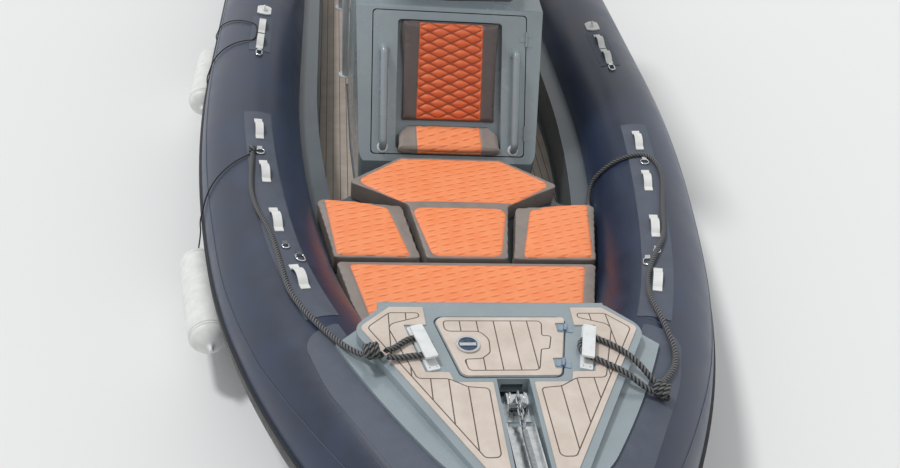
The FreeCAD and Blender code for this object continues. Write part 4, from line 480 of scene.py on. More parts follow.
def ropeFinish():
    # twisted polyester: black filaments with salt-bleached flecks that run round each strand, and a painted highlight
    # along the strands' crests
    material, tree, shader = startFinish("twistedPolyester")
    along = addNode(tree, "ShaderNodeAttribute", attribute_name="along").outputs["Fac"]
    around = addNode(tree, "ShaderNodeAttribute", attribute_name="around").outputs["Fac"]
    fine = addNode(tree, "ShaderNodeMath", {0: along, 1: 110.0}, operation="MULTIPLY")
    wide = addNode(tree, "ShaderNodeMath", {0: around, 1: 9.0}, operation="MULTIPLY")
    lean = addNode(tree, "ShaderNodeMath", {0: wide, 1: fine}, operation="ADD")
    place = addNode(tree, "ShaderNodeCombineXYZ", {"X": lean, "Y": wide})
    fibre = addNode(tree, "ShaderNodeTexNoise", {"Vector": place, "Scale": 2.4, "Detail": 4.0, "Roughness": 0.7})
    fleck = addNode(tree, "ShaderNodeMapRange", {"Value": fibre.outputs["Fac"], "From Min": 0.52, "From Max": 0.70})
    shade = addNode(tree, "ShaderNodeMix", {
        "Factor": fleck, 6: linearColour("#0d0d0f"), 7: linearColour("#474643")}, data_type="RGBA")
    # painted highlight: the strands' outermost crests are painted pale grey, standing in for light catching them
    crest = addNode(tree, "ShaderNodeAttribute", attribute_name="crest").outputs["Fac"]
    crestHighlight = addNode(tree, "ShaderNodeMapRange", {
        "Value": crest, "From Min": ropeLook["strandOut"] + 0.74 * ropeLook["strand"],
        "From Max": ropeLook["strandOut"] + ropeLook["strand"], "To Max": 0.7})
    highlightedRope = addNode(tree, "ShaderNodeMix", {
        "Factor": crestHighlight, 6: shade.outputs[2], 7: linearColour("#7f8082")}, data_type="RGBA")
    relief = addNode(tree, "ShaderNodeBump", {"Height": fibre.outputs["Fac"], "Strength": 0.5, "Distance": 0.002})
    tree.links.new(highlightedRope.outputs[2], shader.inputs["Base Color"])
    tree.links.new(relief.outputs[0], shader.inputs["Normal"])
    shader.inputs["Roughness"].default_value = 0.6
    return material


finish["twistedPolyester"] = ropeFinish()


def glassFinish():
    # tinted cast acrylic: dark grey, clear enough to see the dash through
    material, tree, shader = startFinish("tintedAcrylic")
    place = addNode(tree, "ShaderNodeTexCoord").outputs["Object"]
    smear = addNode(tree, "ShaderNodeTexNoise", {"Vector": place, "Scale": 9.0, "Detail": 4.0})
    gloss = addNode(tree, "ShaderNodeMapRange", {"Value": smear.outputs["Fac"], "To Min": 0.04, "To Max": 0.12})
    tree.links.new(gloss.outputs[0], shader.inputs["Roughness"])
    for socket, value in {"Base Color": linearColour("#5d666e"), "Transmission Weight": 0.85, "IOR": 1.49}.items():
        shader.inputs[socket].default_value = value
    return material


finish["tintedAcrylic"] = glassFinish()
print("materials made:", len(finish))

slotFinish = {
    "hypalon": "coatedNeoprene", "hypalon_patch": "texturedNeoprene", "rub_rubber": "extrudedRubber",
    "gelcoat_grey": "greyGelcoat", "gelcoat_light": "paleGelcoat", "synthetic_teak": "foamDecking",
    "stainless": "polishedStainless", "galvanised": "hotDipZinc", "white_strap": "whitePvc",
    "upholstery_orange": "orangeVinyl", "upholstery_grey": "shadedGreyVinyl", "smoked_acrylic": "tintedAcrylic",
    "dash_black": "satinAbs", "powder_white": "powderCoat", "canopy_shell": "greyGelcoat",
    "engine_paint": "enginePaint", "fender_white": "whitePvc", "black_rope": "twistedPolyester",
}
nodeFinish = {  # nodes whose finish differs from the rest of their slot
    "bow_cleats": "whiteEnamel", "hatch_hinge_deck": "skyTintedStainless", "hatch_hinge_lid": "skyTintedStainless",
    "door_hinge_console": "greyGelcoat", "door_hinge_leaf": "greyGelcoat", "floor_teak": "walkwayFoam",
    "deck_liner": "shadedGelcoat",
}
for row in frame["record"]["subparts"]:
    piece = nodes[row["node"]]
    piece.data.materials.clear()
    piece.data.materials.append(finish[nodeFinish.get(row["node"], slotFinish[row["material_slot"]])])


def tieKnot(name, middle, axis, wraps, reach, radius):
    # rope wound in wraps round the line through a knot
    axis = Vector(axis).normalized()
    side = axis.cross(Vector((0, 0, 1))).normalized()
    lift = side.cross(axis).normalized()
    places = []
    perTurn, uneven, beat = 18, 0.05, 3.1  # points to a wrap, and how far and how often the wraps stray
    count = perTurn * wraps
    for k in range(count + 1):
        a = math.tau * k / perTurn
        out = radius * (1.0 + uneven * math.sin(beat * a))
        centre = Vector(middle) + axis * (reach * (k / count - 0.5))
        places.append(centre + (side * math.cos(a) + lift * math.sin(a)) * out)
    return windRope(name, linePoints(name + "Line", places), ropeLook)


knots = {
    "knotPort": {"middle": (0.6180, -3.2932, 0.9547), "axis": (0.86, -0.468, -0.0835), "wraps": 3, "reach": 0.064,
        "radius": 0.024},
    "knotStarboard": {"middle": (-0.5620, -3.1185, 1.0060), "axis": (0.93, 0.2952, -0.0734), "wraps": 3,
        "reach": 0.064, "radius": 0.024},
    "ringHitch": {"middle": (-1.1593, -1.3780, 0.7755), "axis": (0.139, -0.990, 0.0), "wraps": 2, "reach": 0.026,
        "radius": 0.0095},
    "tailKnot": {"middle": (0.8040, -1.5050, 0.4720), "axis": (-0.35, -0.93, 0.0), "wraps": 2, "reach": 0.022,
        "radius": 0.0085},
}
knotPieces = {name: fitPiece(tieKnot(name, **look), "boat", "black_rope") for name, look in knots.items()}
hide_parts("rope_knots")

ropeEnds = {
    "rope_port": ("knot", ["tailKnot"]),
    "rope_starboard": ("knot", ["ringHitch", "knotStarboard"]),
    "rope_loop_port": ("knot", ["knotPort"]),
    "rope_loop_starboard": ("knot", []),
}
for name, (farEnd, held) in ropeEnds.items():
    places = linePoints(name + "Line", ropeRoutes[name])
    rope = fitPiece(windRope(name + "_laid", places, ropeLook), "boat", "black_rope", name)
print("ropes laid")


def roundedOutline(points, radius, steps=6):
    # closed outline with each corner turned into an arc
    places = []
    count = len(points)
    for k in range(count):
        corner = np.array(points[k], float)
        back = np.array(points[k - 1], float) - corner
        ahead = np.array(points[(k + 1) % count], float) - corner
        a, b = np.linalg.norm(back), np.linalg.norm(ahead)
        back, ahead = back / a, ahead / b
        half = math.acos(max(-1.0, min(1.0, float(back @ ahead)))) / 2
        size = radius[k] if isinstance(radius, list) else radius
        cut = min(size / math.tan(half), 0.48 * a, 0.48 * b)
        size = cut * math.tan(half)
        middle = corner + (back + ahead) / np.linalg.norm(back + ahead) * (size / math.sin(half))
        first, last = corner + back * cut - middle, corner + ahead * cut - middle
        turn = math.pi - 2 * half
        for s in range(steps + 1):
            t = s / steps
            places.append(middle + (first * math.sin((1 - t) * turn) + last * math.sin(t * turn)) / math.sin(turn))
    return np.array(places)


def outlineDistance(places, outline):
    # signed distance of flat points to a closed outline, positive inside, and the nearest point on it
    best = np.full(len(places), 1e9)
    near = np.zeros_like(places)
    inside = np.zeros(len(places), bool)
    for a, b in zip(outline, np.roll(outline, -1, 0)):
        run = b - a
        size = max(float(run @ run), 1e-12)
        t = np.clip(((places - a) @ run) / size, 0, 1)
        foot = a + t[:, None] * run
        gap = np.linalg.norm(places - foot, axis=1)
        closer = gap < best
        best[closer] = gap[closer]
        near[closer] = foot[closer]
        crosses = (a[1] > places[:, 1]) != (b[1] > places[:, 1])
        if abs(b[1] - a[1]) > 1e-9:
            inside ^= crosses & (places[:, 0] < a[0] + (places[:, 1] - a[1]) * run[0] / (b[1] - a[1]))
    return np.where(inside, best, -best), near


def mirroredOutline(half):
    # half runs along the port side; the starboard half is added
    return half + [(-x, y) for x, y in reversed(half)]


# places of a panel: origin, its right, its upward and its outward direction
levelTop = ((0.0, 0.0, 0.0), (1, 0, 0), (0, 1, 0), (0, 0, 1))
doorFace = ((0.0, -1.038, 0.487), (1, 0, 0), (0, 0.610145, 0.79229), (0, -0.79229, 0.610145))
dashFace = ((0.0, 0.060, 1.139), (1, 0, 0), (0, 0.681104, -0.732187), (0, 0.732187, 0.681104))
deckPlane = ((0.0, -2.8, 0.95), (1, 0, 0), (0, 0.996917, -0.078459), (0, 0.078459, 0.996917))

cushions = {
    "centre_cushion": {
        "place": levelTop, "fill": 0.8,
        "panels": [
            (mirroredOutline([(0.300, -1.140), (0.580, -1.374), (0.324, -1.565)]), 0.045),
            (mirroredOutline([(0.272, -1.620), (0.186, -2.032)]), 0.045),
        ]},
    "side_cushions": {
        "place": levelTop, "fill": 0.8,
        "panels": [
            ([(0.760, -1.557), (0.560, -1.566), (0.408, -1.633), (0.306, -2.040), (0.690, -2.030)],
             [0.012, 0.2, 0.05, 0.02, 0.02]),
            ([(-0.760, -1.557), (-0.560, -1.566), (-0.408, -1.633), (-0.306, -2.040), (-0.690, -2.030)],
             [0.012, 0.2, 0.05, 0.02, 0.02]),
        ]},
    "forward_cushion": {
        "place": levelTop, "fill": 0.8,
        "panels": [(mirroredOutline([(0.628, -2.107), (0.500, -2.618)]), 0.02)]},
    "forward_bolster": {"place": levelTop, "fill": 0.8, "panels": [], "finish": "greyVinyl"},
    "door_backrest": {
        "place": doorFace, "fill": 0.9, "finish": "shadedGreyVinyl", "quilt": "diamond", "voxel": 0.008,
        "panels": [(mirroredOutline([(0.198, 0.855), (0.204, 0.268)]), 0.012)]},
    "door_seat": {
        "place": doorFace, "fill": 0.8, "finish": "greyVinyl", "voxel": 0.008, "cutCorner": (0.322, 0.242, 0.085),
        "panels": [(mirroredOutline([(0.200, 0.262), (0.200, 0.030)]), 0.01)]},
    "helm_cushions": {"place": levelTop, "fill": 0.8, "finish": "greyVinyl", "panels": [
        ([(x, 1.085), (x + 0.330, 1.085), (x + 0.330, 1.440), (x, 1.440)], 0.03) for x in (-0.398, 0.068)]},
    "stern_cushions": {"place": levelTop, "fill": 0.8, "finish": "greyVinyl", "panels": [
        ([(x, 2.610), (x + 0.400, 2.610), (x + 0.400, 2.940), (x, 2.940)], 0.03) for x in (-0.733, -0.200, 0.333)]},
}
cushionWork = {"voxel": 0.012, "shrink": 0.005, "swell": 0.008, "pressure": 4.0, "frames": 15,
               "seamDepth": 0.0030, "seamWidth": 0.0045, "crown": 0.0035, "crownReach": 0.030, "quiltFade": 0.012,
               "front": 0.6, "snap": 0.27}
quilts = {
    "leaf": {"pitch": (0.071, 0.047), "tilt": 16.0, "length": 0.033, "width": 0.0065, "depth": 0.0024},
    "diamond": {"pitch": (0.136, 0.061), "depth": 0.012},
}


def rowsOf(items, key):
    # one row of three numbers for each vertex or face
    flat = np.empty(len(items) * 3)
    items.foreach_get(key, flat)
    return flat.reshape(-1, 3)


def setVertices(mesh, places):
    mesh.vertices.foreach_set("co", places.astype(np.float32).ravel())
    mesh.update()


def swellCushion(name, voxel):
    # remeshed copy of the solid, drawn in a little, then blown up as cloth with the movement capped
    piece = finishObject(name + "_pad", mendMesh(nodes[name].data.copy(), merge=True, turn=False), None, 180.0)
    remesh = piece.modifiers.new("remesh", "REMESH")
    remesh.mode = "VOXEL"
    remesh.voxel_size = voxel
    settle(piece)
    low = rowsOf(piece.data.vertices, "co")[:, 2].min()
    places = rowsOf(piece.data.vertices, "co") - rowsOf(piece.data.vertices, "normal") * cushionWork["shrink"]
    setVertices(piece.data, places)
    cloth = piece.modifiers.new("cloth", "CLOTH")
    cloth.settings.use_pressure = True
    cloth.settings.uniform_pressure_force = cushionWork["pressure"]
    cloth.settings.effector_weights.gravity = 0.0
    cloth.point_cache.frame_start = 1
    cloth.point_cache.frame_end = cushionWork["frames"]
    for step in range(1, cushionWork["frames"] + 1):
        scene.frame_set(step)
    settle(piece)
    scene.frame_set(1)
    moved = rowsOf(piece.data.vertices, "co") - places
    size = np.linalg.norm(moved, axis=1)
    scale = np.minimum(1.0, cushionWork["swell"] / np.maximum(size, 1e-9))
    places = places + moved * scale[:, None]
    places[:, 2] = np.maximum(places[:, 2], low)
    setVertices(piece.data, places)
    finer = piece.modifiers.new("finer", "SUBSURF")
    finer.levels = finer.render_levels = 1
    return settle(piece)


def quiltHeight(flat, kind):
    look = quilts[kind]
    wide, high = look["pitch"]
    if kind == "leaf":
        column = np.floor(flat[:, 0] / wide)
        dx = (flat[:, 0] / wide % 1.0 - 0.5) * wide
        dy = ((flat[:, 1] / high + 0.5 * (column % 2)) % 1.0 - 0.5) * high
        a = math.radians(look["tilt"])
        along, across = dx * math.cos(a) + dy * math.sin(a), dy * math.cos(a) - dx * math.sin(a)
        reach = (along / look["length"]) ** 2 + (across / look["width"]) ** 2
        return -look["depth"] * np.exp(-reach)
    p, q = (flat[:, 0] / wide + flat[:, 1] / high) % 1.0, (flat[:, 0] / wide - flat[:, 1] / high) % 1.0
    puff = (1 - np.abs(2 * p - 1) ** 2.5) * (1 - np.abs(2 * q - 1) ** 2.5)
    return -look["depth"] * (1 - puff)


def dressCushion(name, look):
    voxel = look.get("voxel", cushionWork["voxel"])
    piece = swellCushion(name, voxel)
    mesh = piece.data
    axes, origin = planeAxes(look["place"])
    local = (rowsOf(mesh.vertices, "co") - origin) @ axes.T
    facing = rowsOf(mesh.vertices, "normal") @ axes[2] > cushionWork["front"]
    # where the finish is painted darker: shade and dirt along the seams, shade in the diamond quilting's hollows
    seamShadeAndDirt = np.zeros(len(local))
    if "cutCorner" in look:
        # the two upper corners are sewn off at a slant
        wide, high, cut = look["cutCorner"]
        over = np.maximum(0.0, np.abs(local[:, 0]) - wide + local[:, 1] - high + cut) / 2
        local[:, 0] -= np.sign(local[:, 0]) * over
        local[:, 1] -= over
    kind = look.get("quilt", "leaf")
    panelFaces = []
    for points, corner in look["panels"]:
        outline = roundedOutline(points, corner)
        gap, near = outlineDistance(local[:, :2], outline)
        close = facing & (np.abs(gap) < voxel * cushionWork["snap"])  # the seam runs through these points
        local[close, :2] = near[close]
        gap[close] = 0.0
        stitched = np.exp(-(gap / cushionWork["seamWidth"]) ** 2)
        within = facing & (gap > 0)
        height = -cushionWork["seamDepth"] * stitched
        height[within] += (cushionWork["crown"] * (1 - np.exp(-gap / cushionWork["crownReach"])))[within]
        pressed = quiltHeight(local[:, :2], kind) * np.clip(gap / cushionWork["quiltFade"], 0, 1)
        height[within] += pressed[within]
        local[facing, 2] += height[facing]
        # in the diamonds' hollows the mark is raised as well, as painted shade where the quilting sinks
        if kind == "diamond":
            stitched[within] = np.maximum(stitched,
                np.clip(-pressed / quilts[kind]["depth"] * 2.2 - 1.1, 0, 1))[within]
        seamShadeAndDirt[facing] = np.maximum(seamShadeAndDirt, stitched)[facing]
        panelFaces.append(outline)
    setVertices(mesh, local @ axes + origin)
    mark = mesh.attributes.new("seamShadeAndDirt", "FLOAT", "POINT")
    mark.data.foreach_set("value", seamShadeAndDirt.astype(np.float32))
    loops = np.empty(len(mesh.loops), int)
    mesh.loops.foreach_get("vertex_index", loops)
    uv = mesh.uv_layers.new(name="panel")
    uv.data.foreach_set("uv", local[loops][:, :2].astype(np.float32).ravel())
    mesh.materials.clear()
    mesh.materials.append(finish[look.get("finish", "greyVinyl")])
    mesh.materials.append(finish["quiltedOrange"] if kind == "leaf" else finish["diamondOrange"])
    centres = (rowsOf(mesh.polygons, "center") - origin) @ axes.T
    up = rowsOf(mesh.polygons, "normal") @ axes[2] > 0.5
    kinds = np.zeros(len(centres), int)
    for outline in panelFaces:
        gap, near = outlineDistance(centres[:, :2], outline)
        kinds[up & (gap > 0)] = 1
    mesh.polygons.foreach_set("material_index", kinds)
    mesh.polygons.foreach_set("use_smooth", [True] * len(mesh.polygons))
    fitPiece(piece, "front_door" if name.startswith("door_") else "boat",
             "upholstery_grey" if name == "forward_bolster" else "upholstery_orange", name)
    print("cushion", name, len(mesh.polygons), "faces")


def quiltFinish(name, colour, shade, grooveShade, kind):
    # vinyl over soft foam: each pressed leaf-shaped stitch carries painted shade with a painted highlight beside it,
    # and the seams are painted darker as shade and dirt
    material, tree, shader, mixed = plainFinish(name, colour, shade, *finishes["orangeVinyl"][2:])
    seamShadeAndDirt = addNode(tree, "ShaderNodeAttribute", attribute_name="seamShadeAndDirt").outputs["Fac"]
    base = mixed.outputs[2]
    if kind == "leaf":
        look = quilts["leaf"]
        wide, high = look["pitch"]
        flat = addNode(tree, "ShaderNodeUVMap", uv_map="panel").outputs[0]
        cells = addNode(tree, "ShaderNodeVectorMath", {0: flat, 1: (1 / wide, 1 / high, 0)}, operation="MULTIPLY")
        parts = addNode(tree, "ShaderNodeSeparateXYZ", {0: cells})
        column = addNode(tree, "ShaderNodeMath", {0: parts}, operation="FLOOR")
        odd = addNode(tree, "ShaderNodeMath", {0: column, 1: 2.0}, operation="FLOORED_MODULO")
        shift = addNode(tree, "ShaderNodeMath", {0: odd, 1: 0.5, 2: 0.0}, operation="MULTIPLY_ADD")
        offset = addNode(tree, "ShaderNodeCombineXYZ", {"Y": shift})
        moved = addNode(tree, "ShaderNodeVectorMath", {0: cells, 1: offset}, operation="ADD")
        part = addNode(tree, "ShaderNodeVectorMath", {0: moved}, operation="FRACTION")
        centred = addNode(tree, "ShaderNodeVectorMath", {0: part, 1: (0.5, 0.5, 0)}, operation="SUBTRACT")
        real = addNode(tree, "ShaderNodeVectorMath", {0: centred, 1: (wide, high, 0)}, operation="MULTIPLY")
        turned = addNode(tree, "ShaderNodeVectorRotate", {"Vector": real, "Angle": -math.radians(look["tilt"])},
                         rotation_type="Z_AXIS")
        leafShadeAndHighlight = []
        # the first mask paints shade into each pressed stitch; the second, shifted 10 mm, paints a highlight on its
        # lit side
        for lift in (0.0, -0.010):
            leaf = addNode(tree, "ShaderNodeVectorMath", {
                0: turned, 1: (1 / look["length"], 1 / look["width"], 0), 2: (0, lift / look["width"], 0)},
                operation="MULTIPLY_ADD")
            reach = addNode(tree, "ShaderNodeVectorMath", {0: leaf}, operation="LENGTH")
            leafShadeAndHighlight.append(addNode(tree, "ShaderNodeMapRange", {
                "Value": reach.outputs["Value"], "From Min": 0.35, "From Max": 1.15, "To Min": 1.0, "To Max": 0.0},
                interpolation_type="SMOOTHSTEP"))
        leafHighlightAmount = addNode(tree, "ShaderNodeMath", {0: leafShadeAndHighlight[1], 1: 0.4}, operation="MULTIPLY")
        leafHighlighted = addNode(tree, "ShaderNodeMix", {"Factor": leafHighlightAmount, 6: base, 7: linearColour("#ffb187")},
            data_type="RGBA")
        leafShaded = addNode(tree, "ShaderNodeMix", {"Factor": leafShadeAndHighlight[0], 6: leafHighlighted.outputs[2], 7: linearColour(grooveShade)},
            data_type="RGBA")
        base = leafShaded.outputs[2]
    # painted shade and dirt along the seams, and painted shade in the diamond quilting's hollows
    stitched = addNode(tree, "ShaderNodeMath", {0: seamShadeAndDirt, 1: 0.75}, operation="MULTIPLY")
    last = addNode(tree, "ShaderNodeMix", {"Factor": stitched, 6: base, 7: linearColour(grooveShade)}, data_type="RGBA")
    tree.links.new(last.outputs[2], shader.inputs["Base Color"])
    return material


# the last colour of each is the painted shade for stitches, seams and hollows
finish["quiltedOrange"] = quiltFinish("quiltedOrange", "#f98f59", "#fb9a66", "#e8733b", "leaf")
finish["diamondOrange"] = quiltFinish("diamondOrange", "#e2683a", "#ea7546", "#6a2c18", "diamond")
for name, look in cushions.items():
    dressCushion(name, look)
print("cushions made")

# millimetres on the bow moulding's own plane: outlines with corner radii, routed loops, planks along the boat
decking = {
    "thick": 5.9, "lineWidth": 5.0, "lineRise": 0.25, "edge": 0.8,
    "side": {
        "outline": [(330, -6, 4), (476, -6, 12), (606, -137, 30), (171, -908, 40), (150, -945, 30), (84, -945, 8),
            (84, -470, 8), (240, -470, 8), (255, -412, 8), (350, -412, 4), (421, -124, 4), (325, -124, 4)],
        "loop": [(352, -46, 13), (479, -46, 25), (574, -141, 25), (170, -857, 22), (110, -857, 22), (106, -505, 18),
            (190, -496, 60), (262, -450, 60), (386, -448, 26), (493, -124, 40), (352, -74, 13)],
        "planks": [188, 262, 334, 408, 482]},
    "hatch": {
        "outline": [(289.9, -74, 36), (280.7, -111.4, 3), (240, -111.4, 5), (240, -175.4, 5), (265, -175.4, 3),
            (226.7, -331.6, 3), (186, -331.6, 5), (186, -395.6, 5), (211, -395.6, 3), (201.9, -433, 20),
            (-201.9, -433, 36), (-289.9, -74, 36)],
        "loop": [(-250, -99, 16), (182, -99, 20), (166, -193, 8), (206, -197, 10), (184, -275, 12), (148, -279, 10),
            (118, -404, 26), (-172, -404, 20), (-186, -338, 14), (-112, -335, 30), (-72, -300, 40), (-66, -215, 60),
            (-100, -166, 40), (-248, -166, 26)],
        "planks": [-179, -105, -31, 43, 116]},
}


def beadTree():
    # one small round section along each line of the path
    tree, given = makeTree("bead", {"Width": "NodeSocketFloat", "Finish": "NodeSocketMaterial"})
    half = addNode(tree, "ShaderNodeMath", {0: given.outputs["Width"], 1: 0.5}, operation="MULTIPLY")
    path = addNode(tree, "GeometryNodeMeshToCurve", {"Mesh": given.outputs["Geometry"]})
    section = addNode(tree, "GeometryNodeCurvePrimitiveCircle", {"Resolution": 8, "Radius": half})
    swept = addNode(tree, "GeometryNodeCurveToMesh", {"Curve": path, "Profile Curve": section, "Fill Caps": True})
    whole = addNode(tree, "GeometryNodeRealizeInstances", {"Geometry": swept})
    coated = addNode(tree, "GeometryNodeSetMaterial", {"Geometry": whole, "Material": given.outputs["Finish"]})
    addNode(tree, "NodeGroupOutput", {0: coated})
    return tree


beadNodes = beadTree()


def layBeads(name, lines, width, finishName, rise=None, plane=None):
    # lines of points, each closed or open; on a plane the round section is pressed down to a flat line
    points, edges = [], []
    for places, closed in lines:
        first = len(points)
        points += [tuple(p) if len(p) == 3 else (p[0], p[1], 0.0) for p in places]
        edges += [(first + k, first + k + 1) for k in range(len(places) - 1)]
        if closed:
            edges.append((len(points) - 1, first))
    mesh = bpy.data.meshes.new(name + "Path")
    mesh.from_pydata(points, edges, [])
    mesh = runTree(name, mesh, beadNodes, {"Width": width, "Finish": finish[finishName]})
    if plane:
        local = rowsOf(mesh.vertices, "co")
        local[:, 2] *= rise / (width / 2)
        setVertices(mesh, onPlane(plane, local))
    return finishObject(name, mesh, finish[finishName], 180.0)


def plankLines(outline, places, shortest=0.012):
    # straight lines at the given x, kept where they run inside the outline
    lines = []
    for x in places:
        crossings = []
        for a, b in zip(outline, np.roll(outline, -1, 0)):
            if (a[0] > x) != (b[0] > x):
                crossings.append(a[1] + (b[1] - a[1]) * (x - a[0]) / (b[0] - a[0]))
        crossings.sort()
        for low, high in zip(crossings[::2], crossings[1::2]):
            if high - low > shortest:
                lines.append(([(x, low), (x, high)], False))
    return lines


def flatPanel(name, plane, outline, low, high, finishName, sharpAngle):
    points = [(x, y, z) for z in (low, high) for x, y in outline]
    piece = makeObject(name, onPlane(plane, points), ringFaces(2, len(outline)), finish[finishName], sharpAngle)
    mendMesh(piece.data)
    return piece


def deckPanel(name, outline, look):
    # foam sheet with a softened top edge
    piece = flatPanel(name, deckPlane, outline, -look["thick"] / 1000, 0.0, "foamDecking", 50.0)
    outward = Vector(deckPlane[3])
    work = bmesh.new()
    work.from_mesh(piece.data)
    tops = {face for face in work.faces if len(face.verts) > 4 and face.normal @ outward > 0.5}
    rim = [edge for edge in work.edges if tops.intersection(edge.link_faces)]
    bmesh.ops.bevel(work, geom=rim, offset=look["edge"] / 1000, segments=2, affect="EDGES", profile=0.5)
    bmesh.ops.triangulate(work, faces=[f for f in work.faces if len(f.verts) > 4])
    work.to_mesh(piece.data)
    work.free()
    return piece


def cornered(rows, side=1):
    outline = roundedOutline([(x / 1000, y / 1000) for x, y, r in rows], [r / 1000 for x, y, r in rows])
    outline[:, 0] *= side
    return outline


def layDecking():
    panels = {"bow_teak_port": ("side", 1, "boat"), "bow_teak_starboard": ("side", -1, "boat"),
        "hatch_teak_laid": ("hatch", 1, "hatch_lid")}
    for name, (kind, side, body) in panels.items():
        look = decking[kind]
        panel = deckPanel(name, cornered(look["outline"], side), decking)
        loop = cornered(look["loop"], side)
        lines = [(loop, True)] + plankLines(loop, [side * x / 1000 for x in look["planks"]])
        routed = layBeads(name + "_lines", lines, decking["lineWidth"] / 1000, "routedLine",
            decking["lineRise"] / 1000, deckPlane)
        fitPiece(panel, body, "synthetic_teak", "hatch_teak" if kind == "hatch" else "bow_deck_teak")
        fitPiece(routed, body, "synthetic_teak")
    print("decking laid")


layDecking()

collarSeams = {  # glued edges of the collar's bow flaps: y and angle from straight up, in metres and degrees
    "width": 0.0035, "out": 0.3008,
    "lines": [
        (-1, [(-2.970, 19.0), (-3.010, 22.7), (-3.120, 24.9), (-3.230, 27.5), (-3.350, 28.7), (-3.460, 30.7),
        (-3.560, 31.4)]),
        (-1, [(-3.000, 9.2), (-3.030, 15.6), (-3.130, 18.7), (-3.230, 19.5), (-3.370, 20.7), (-3.490, 23.0),
        (-3.590, 24.5)]),
        (1, [(-2.820, -20.0), (-2.860, -0.3), (-2.930, 9.9), (-2.990, 16.1), (-3.070, 20.4)]),
        (1, [(-2.990, 16.1), (-3.160, 17.2), (-3.410, 17.8), (-3.610, 20.6)]),
        (-1, [(-1.900, 62.0), (-2.300, 64.0), (-2.850, 62.0), (-3.200, 55.0), (-3.550, 50.0)]),
        (1, [(-1.900, 62.0), (-2.300, 64.0), (-2.850, 62.0), (-3.200, 55.0), (-3.550, 50.0)]),
        (-1, [(3.650, 62.0), (1.500, 62.0), (-0.600, 62.0), (-1.900, 62.0)]),
        (1, [(3.650, 62.0), (1.500, 62.0), (-0.600, 62.0), (-1.900, 62.0)]),
    ]}


def glueSeams(look):
    lines = []
    for side, rows in look["lines"]:
        places = []
        for (ya, aa), (yb, ab) in zip(rows, rows[1:]):
            count = max(2, round(abs(yb - ya) / 0.03))
            places += [onCollar(ya + (yb - ya) * k / count, aa + (ab - aa) * k / count, look["out"], side)
                       for k in range(count)]
        places.append(onCollar(*rows[-1], look["out"], side))
        lines.append((places, False))
    fitPiece(layBeads("collar_seams", lines, look["width"], "cutTape"), "boat", "hypalon_patch")
    print("seams glued")


glueSeams(collarSeams)


def steppedDisc(name, plane, rows, finishName, count=48, centre=(0.0, 0.0)):
    # round piece turned from (radius, height) rows, closed on both ends
    points = [(centre[0] + r * math.cos(math.tau * k / count), centre[1] + r * math.sin(math.tau * k / count), h)
              for r, h in rows for k in range(count)]
    piece = makeObject(name, onPlane(plane, points), ringFaces(len(rows), count), finish[finishName], 35.0)
    mendMesh(piece.data)
    return piece


hatchLatch = {  # centre on the deck's plane, and radius and height of each step
    "centre": (-0.161, -0.254),
    "latch_dish": ("blueGreyLatchSteel", [(0.039, 0.0031), (0.040, 0.0042), (0.034, 0.0042), (0.031, 0.0036)]),
    "latch_rim": ("polishedStainless", [(0.0500, 0.0030), (0.0512, 0.0060), (0.0506, 0.0086), (0.0440, 0.0088),
        (0.0415, 0.0070), (0.0412, 0.0033)]),
}
for name in ("latch_dish", "latch_rim"):
    finishName, rows = hatchLatch[name]
    fitPiece(steppedDisc(name, deckPlane, rows, finishName, centre=hatchLatch["centre"]), "hatch_lid", "stainless")

doorRails = {
    "across": 0.410, "low": 0.084, "high": 0.690, "stand": 0.0555, "bend": 0.045, "width": 0.048, "root": -0.05,
    "foot": [(0.0330, 0.0004), (0.0340, 0.0030), (0.0320, 0.0070), (0.0270, 0.0085)]}


def dressRails(look):
    # moulded grab rails, thicker in the hand than their steel core, with enamelled feet below
    lines = []
    for side in (1, -1):
        corners = [(look["low"], look["root"]), (look["low"], look["stand"]), (look["high"], look["stand"]),
            (look["high"], look["root"])]
        bent = roundedOutline(corners, [0.001, look["bend"], look["bend"], 0.001], 10)
        path = [(side * look["across"], v, w) for v, w in bent if w > 0.0]
        first = max(range(len(path)), key=lambda k: -path[k][1] * 10 - path[k][2])
        path = path[first:] + path[:first]
        lines.append((onPlane(doorFace, path), False))
    rails = layBeads("door_rails_moulded", lines, look["width"], "greyGelcoat")
    fitPiece(rails, "front_door", "gelcoat_grey", "door_rails")
    for k, side in enumerate((1, -1)):
        for j, v in enumerate((look["low"], look["high"])):
            foot = steppedDisc("rail_foot_%d" % (2 * k + j + 1), doorFace, look["foot"],
                "whiteEnamel" if j == 0 else "greyGelcoat", centre=(side * look["across"], v))
            fitPiece(foot, "front_door", "stainless")


dressRails(doorRails)

cowl = {  # sections of the engine cover: height, fore, aft and half width in metres, and how square each is
    "sections": [
        (0.5010, 3.930, 4.545, 0.188, 3.2), (0.5200, 3.918, 4.560, 0.200, 3.4), (0.6000, 3.905, 4.590, 0.226, 3.4),
        (0.6060, 3.900, 4.596, 0.230, 3.4), (0.6240, 3.900, 4.596, 0.230, 3.4), (0.6300, 3.905, 4.592, 0.226, 3.4),
        (0.7200, 3.897, 4.615, 0.247, 3.2), (0.8600, 3.904, 4.608, 0.245, 3.0), (0.9800, 3.925, 4.588, 0.232, 2.9),
        (1.0600, 3.958, 4.545, 0.207, 2.8), (1.1050, 4.010, 4.480, 0.170, 2.7), (1.1180, 4.070, 4.420, 0.125, 2.6),
        (1.1195, 4.160, 4.330, 0.060, 2.4)],
    "count": 64, "belt": (0.602, 0.628), "vents": [0.78, 0.815, 0.85, 0.885, 0.92], "ventFrom": 34, "ventSweep": 22,
    "ventSunk": 0.001, "ventWidth": 0.010,
}


def cowlPoint(section, t, out=0.0):
    z, fore, aft, half, square = section
    c, q = math.cos(t), math.sin(t)
    x = (half + out) * math.copysign(abs(c) ** (2 / square), c)
    y = (fore + aft) / 2 + ((aft - fore) / 2 + out) * math.copysign(abs(q) ** (2 / square), q)
    return (x, y, z)


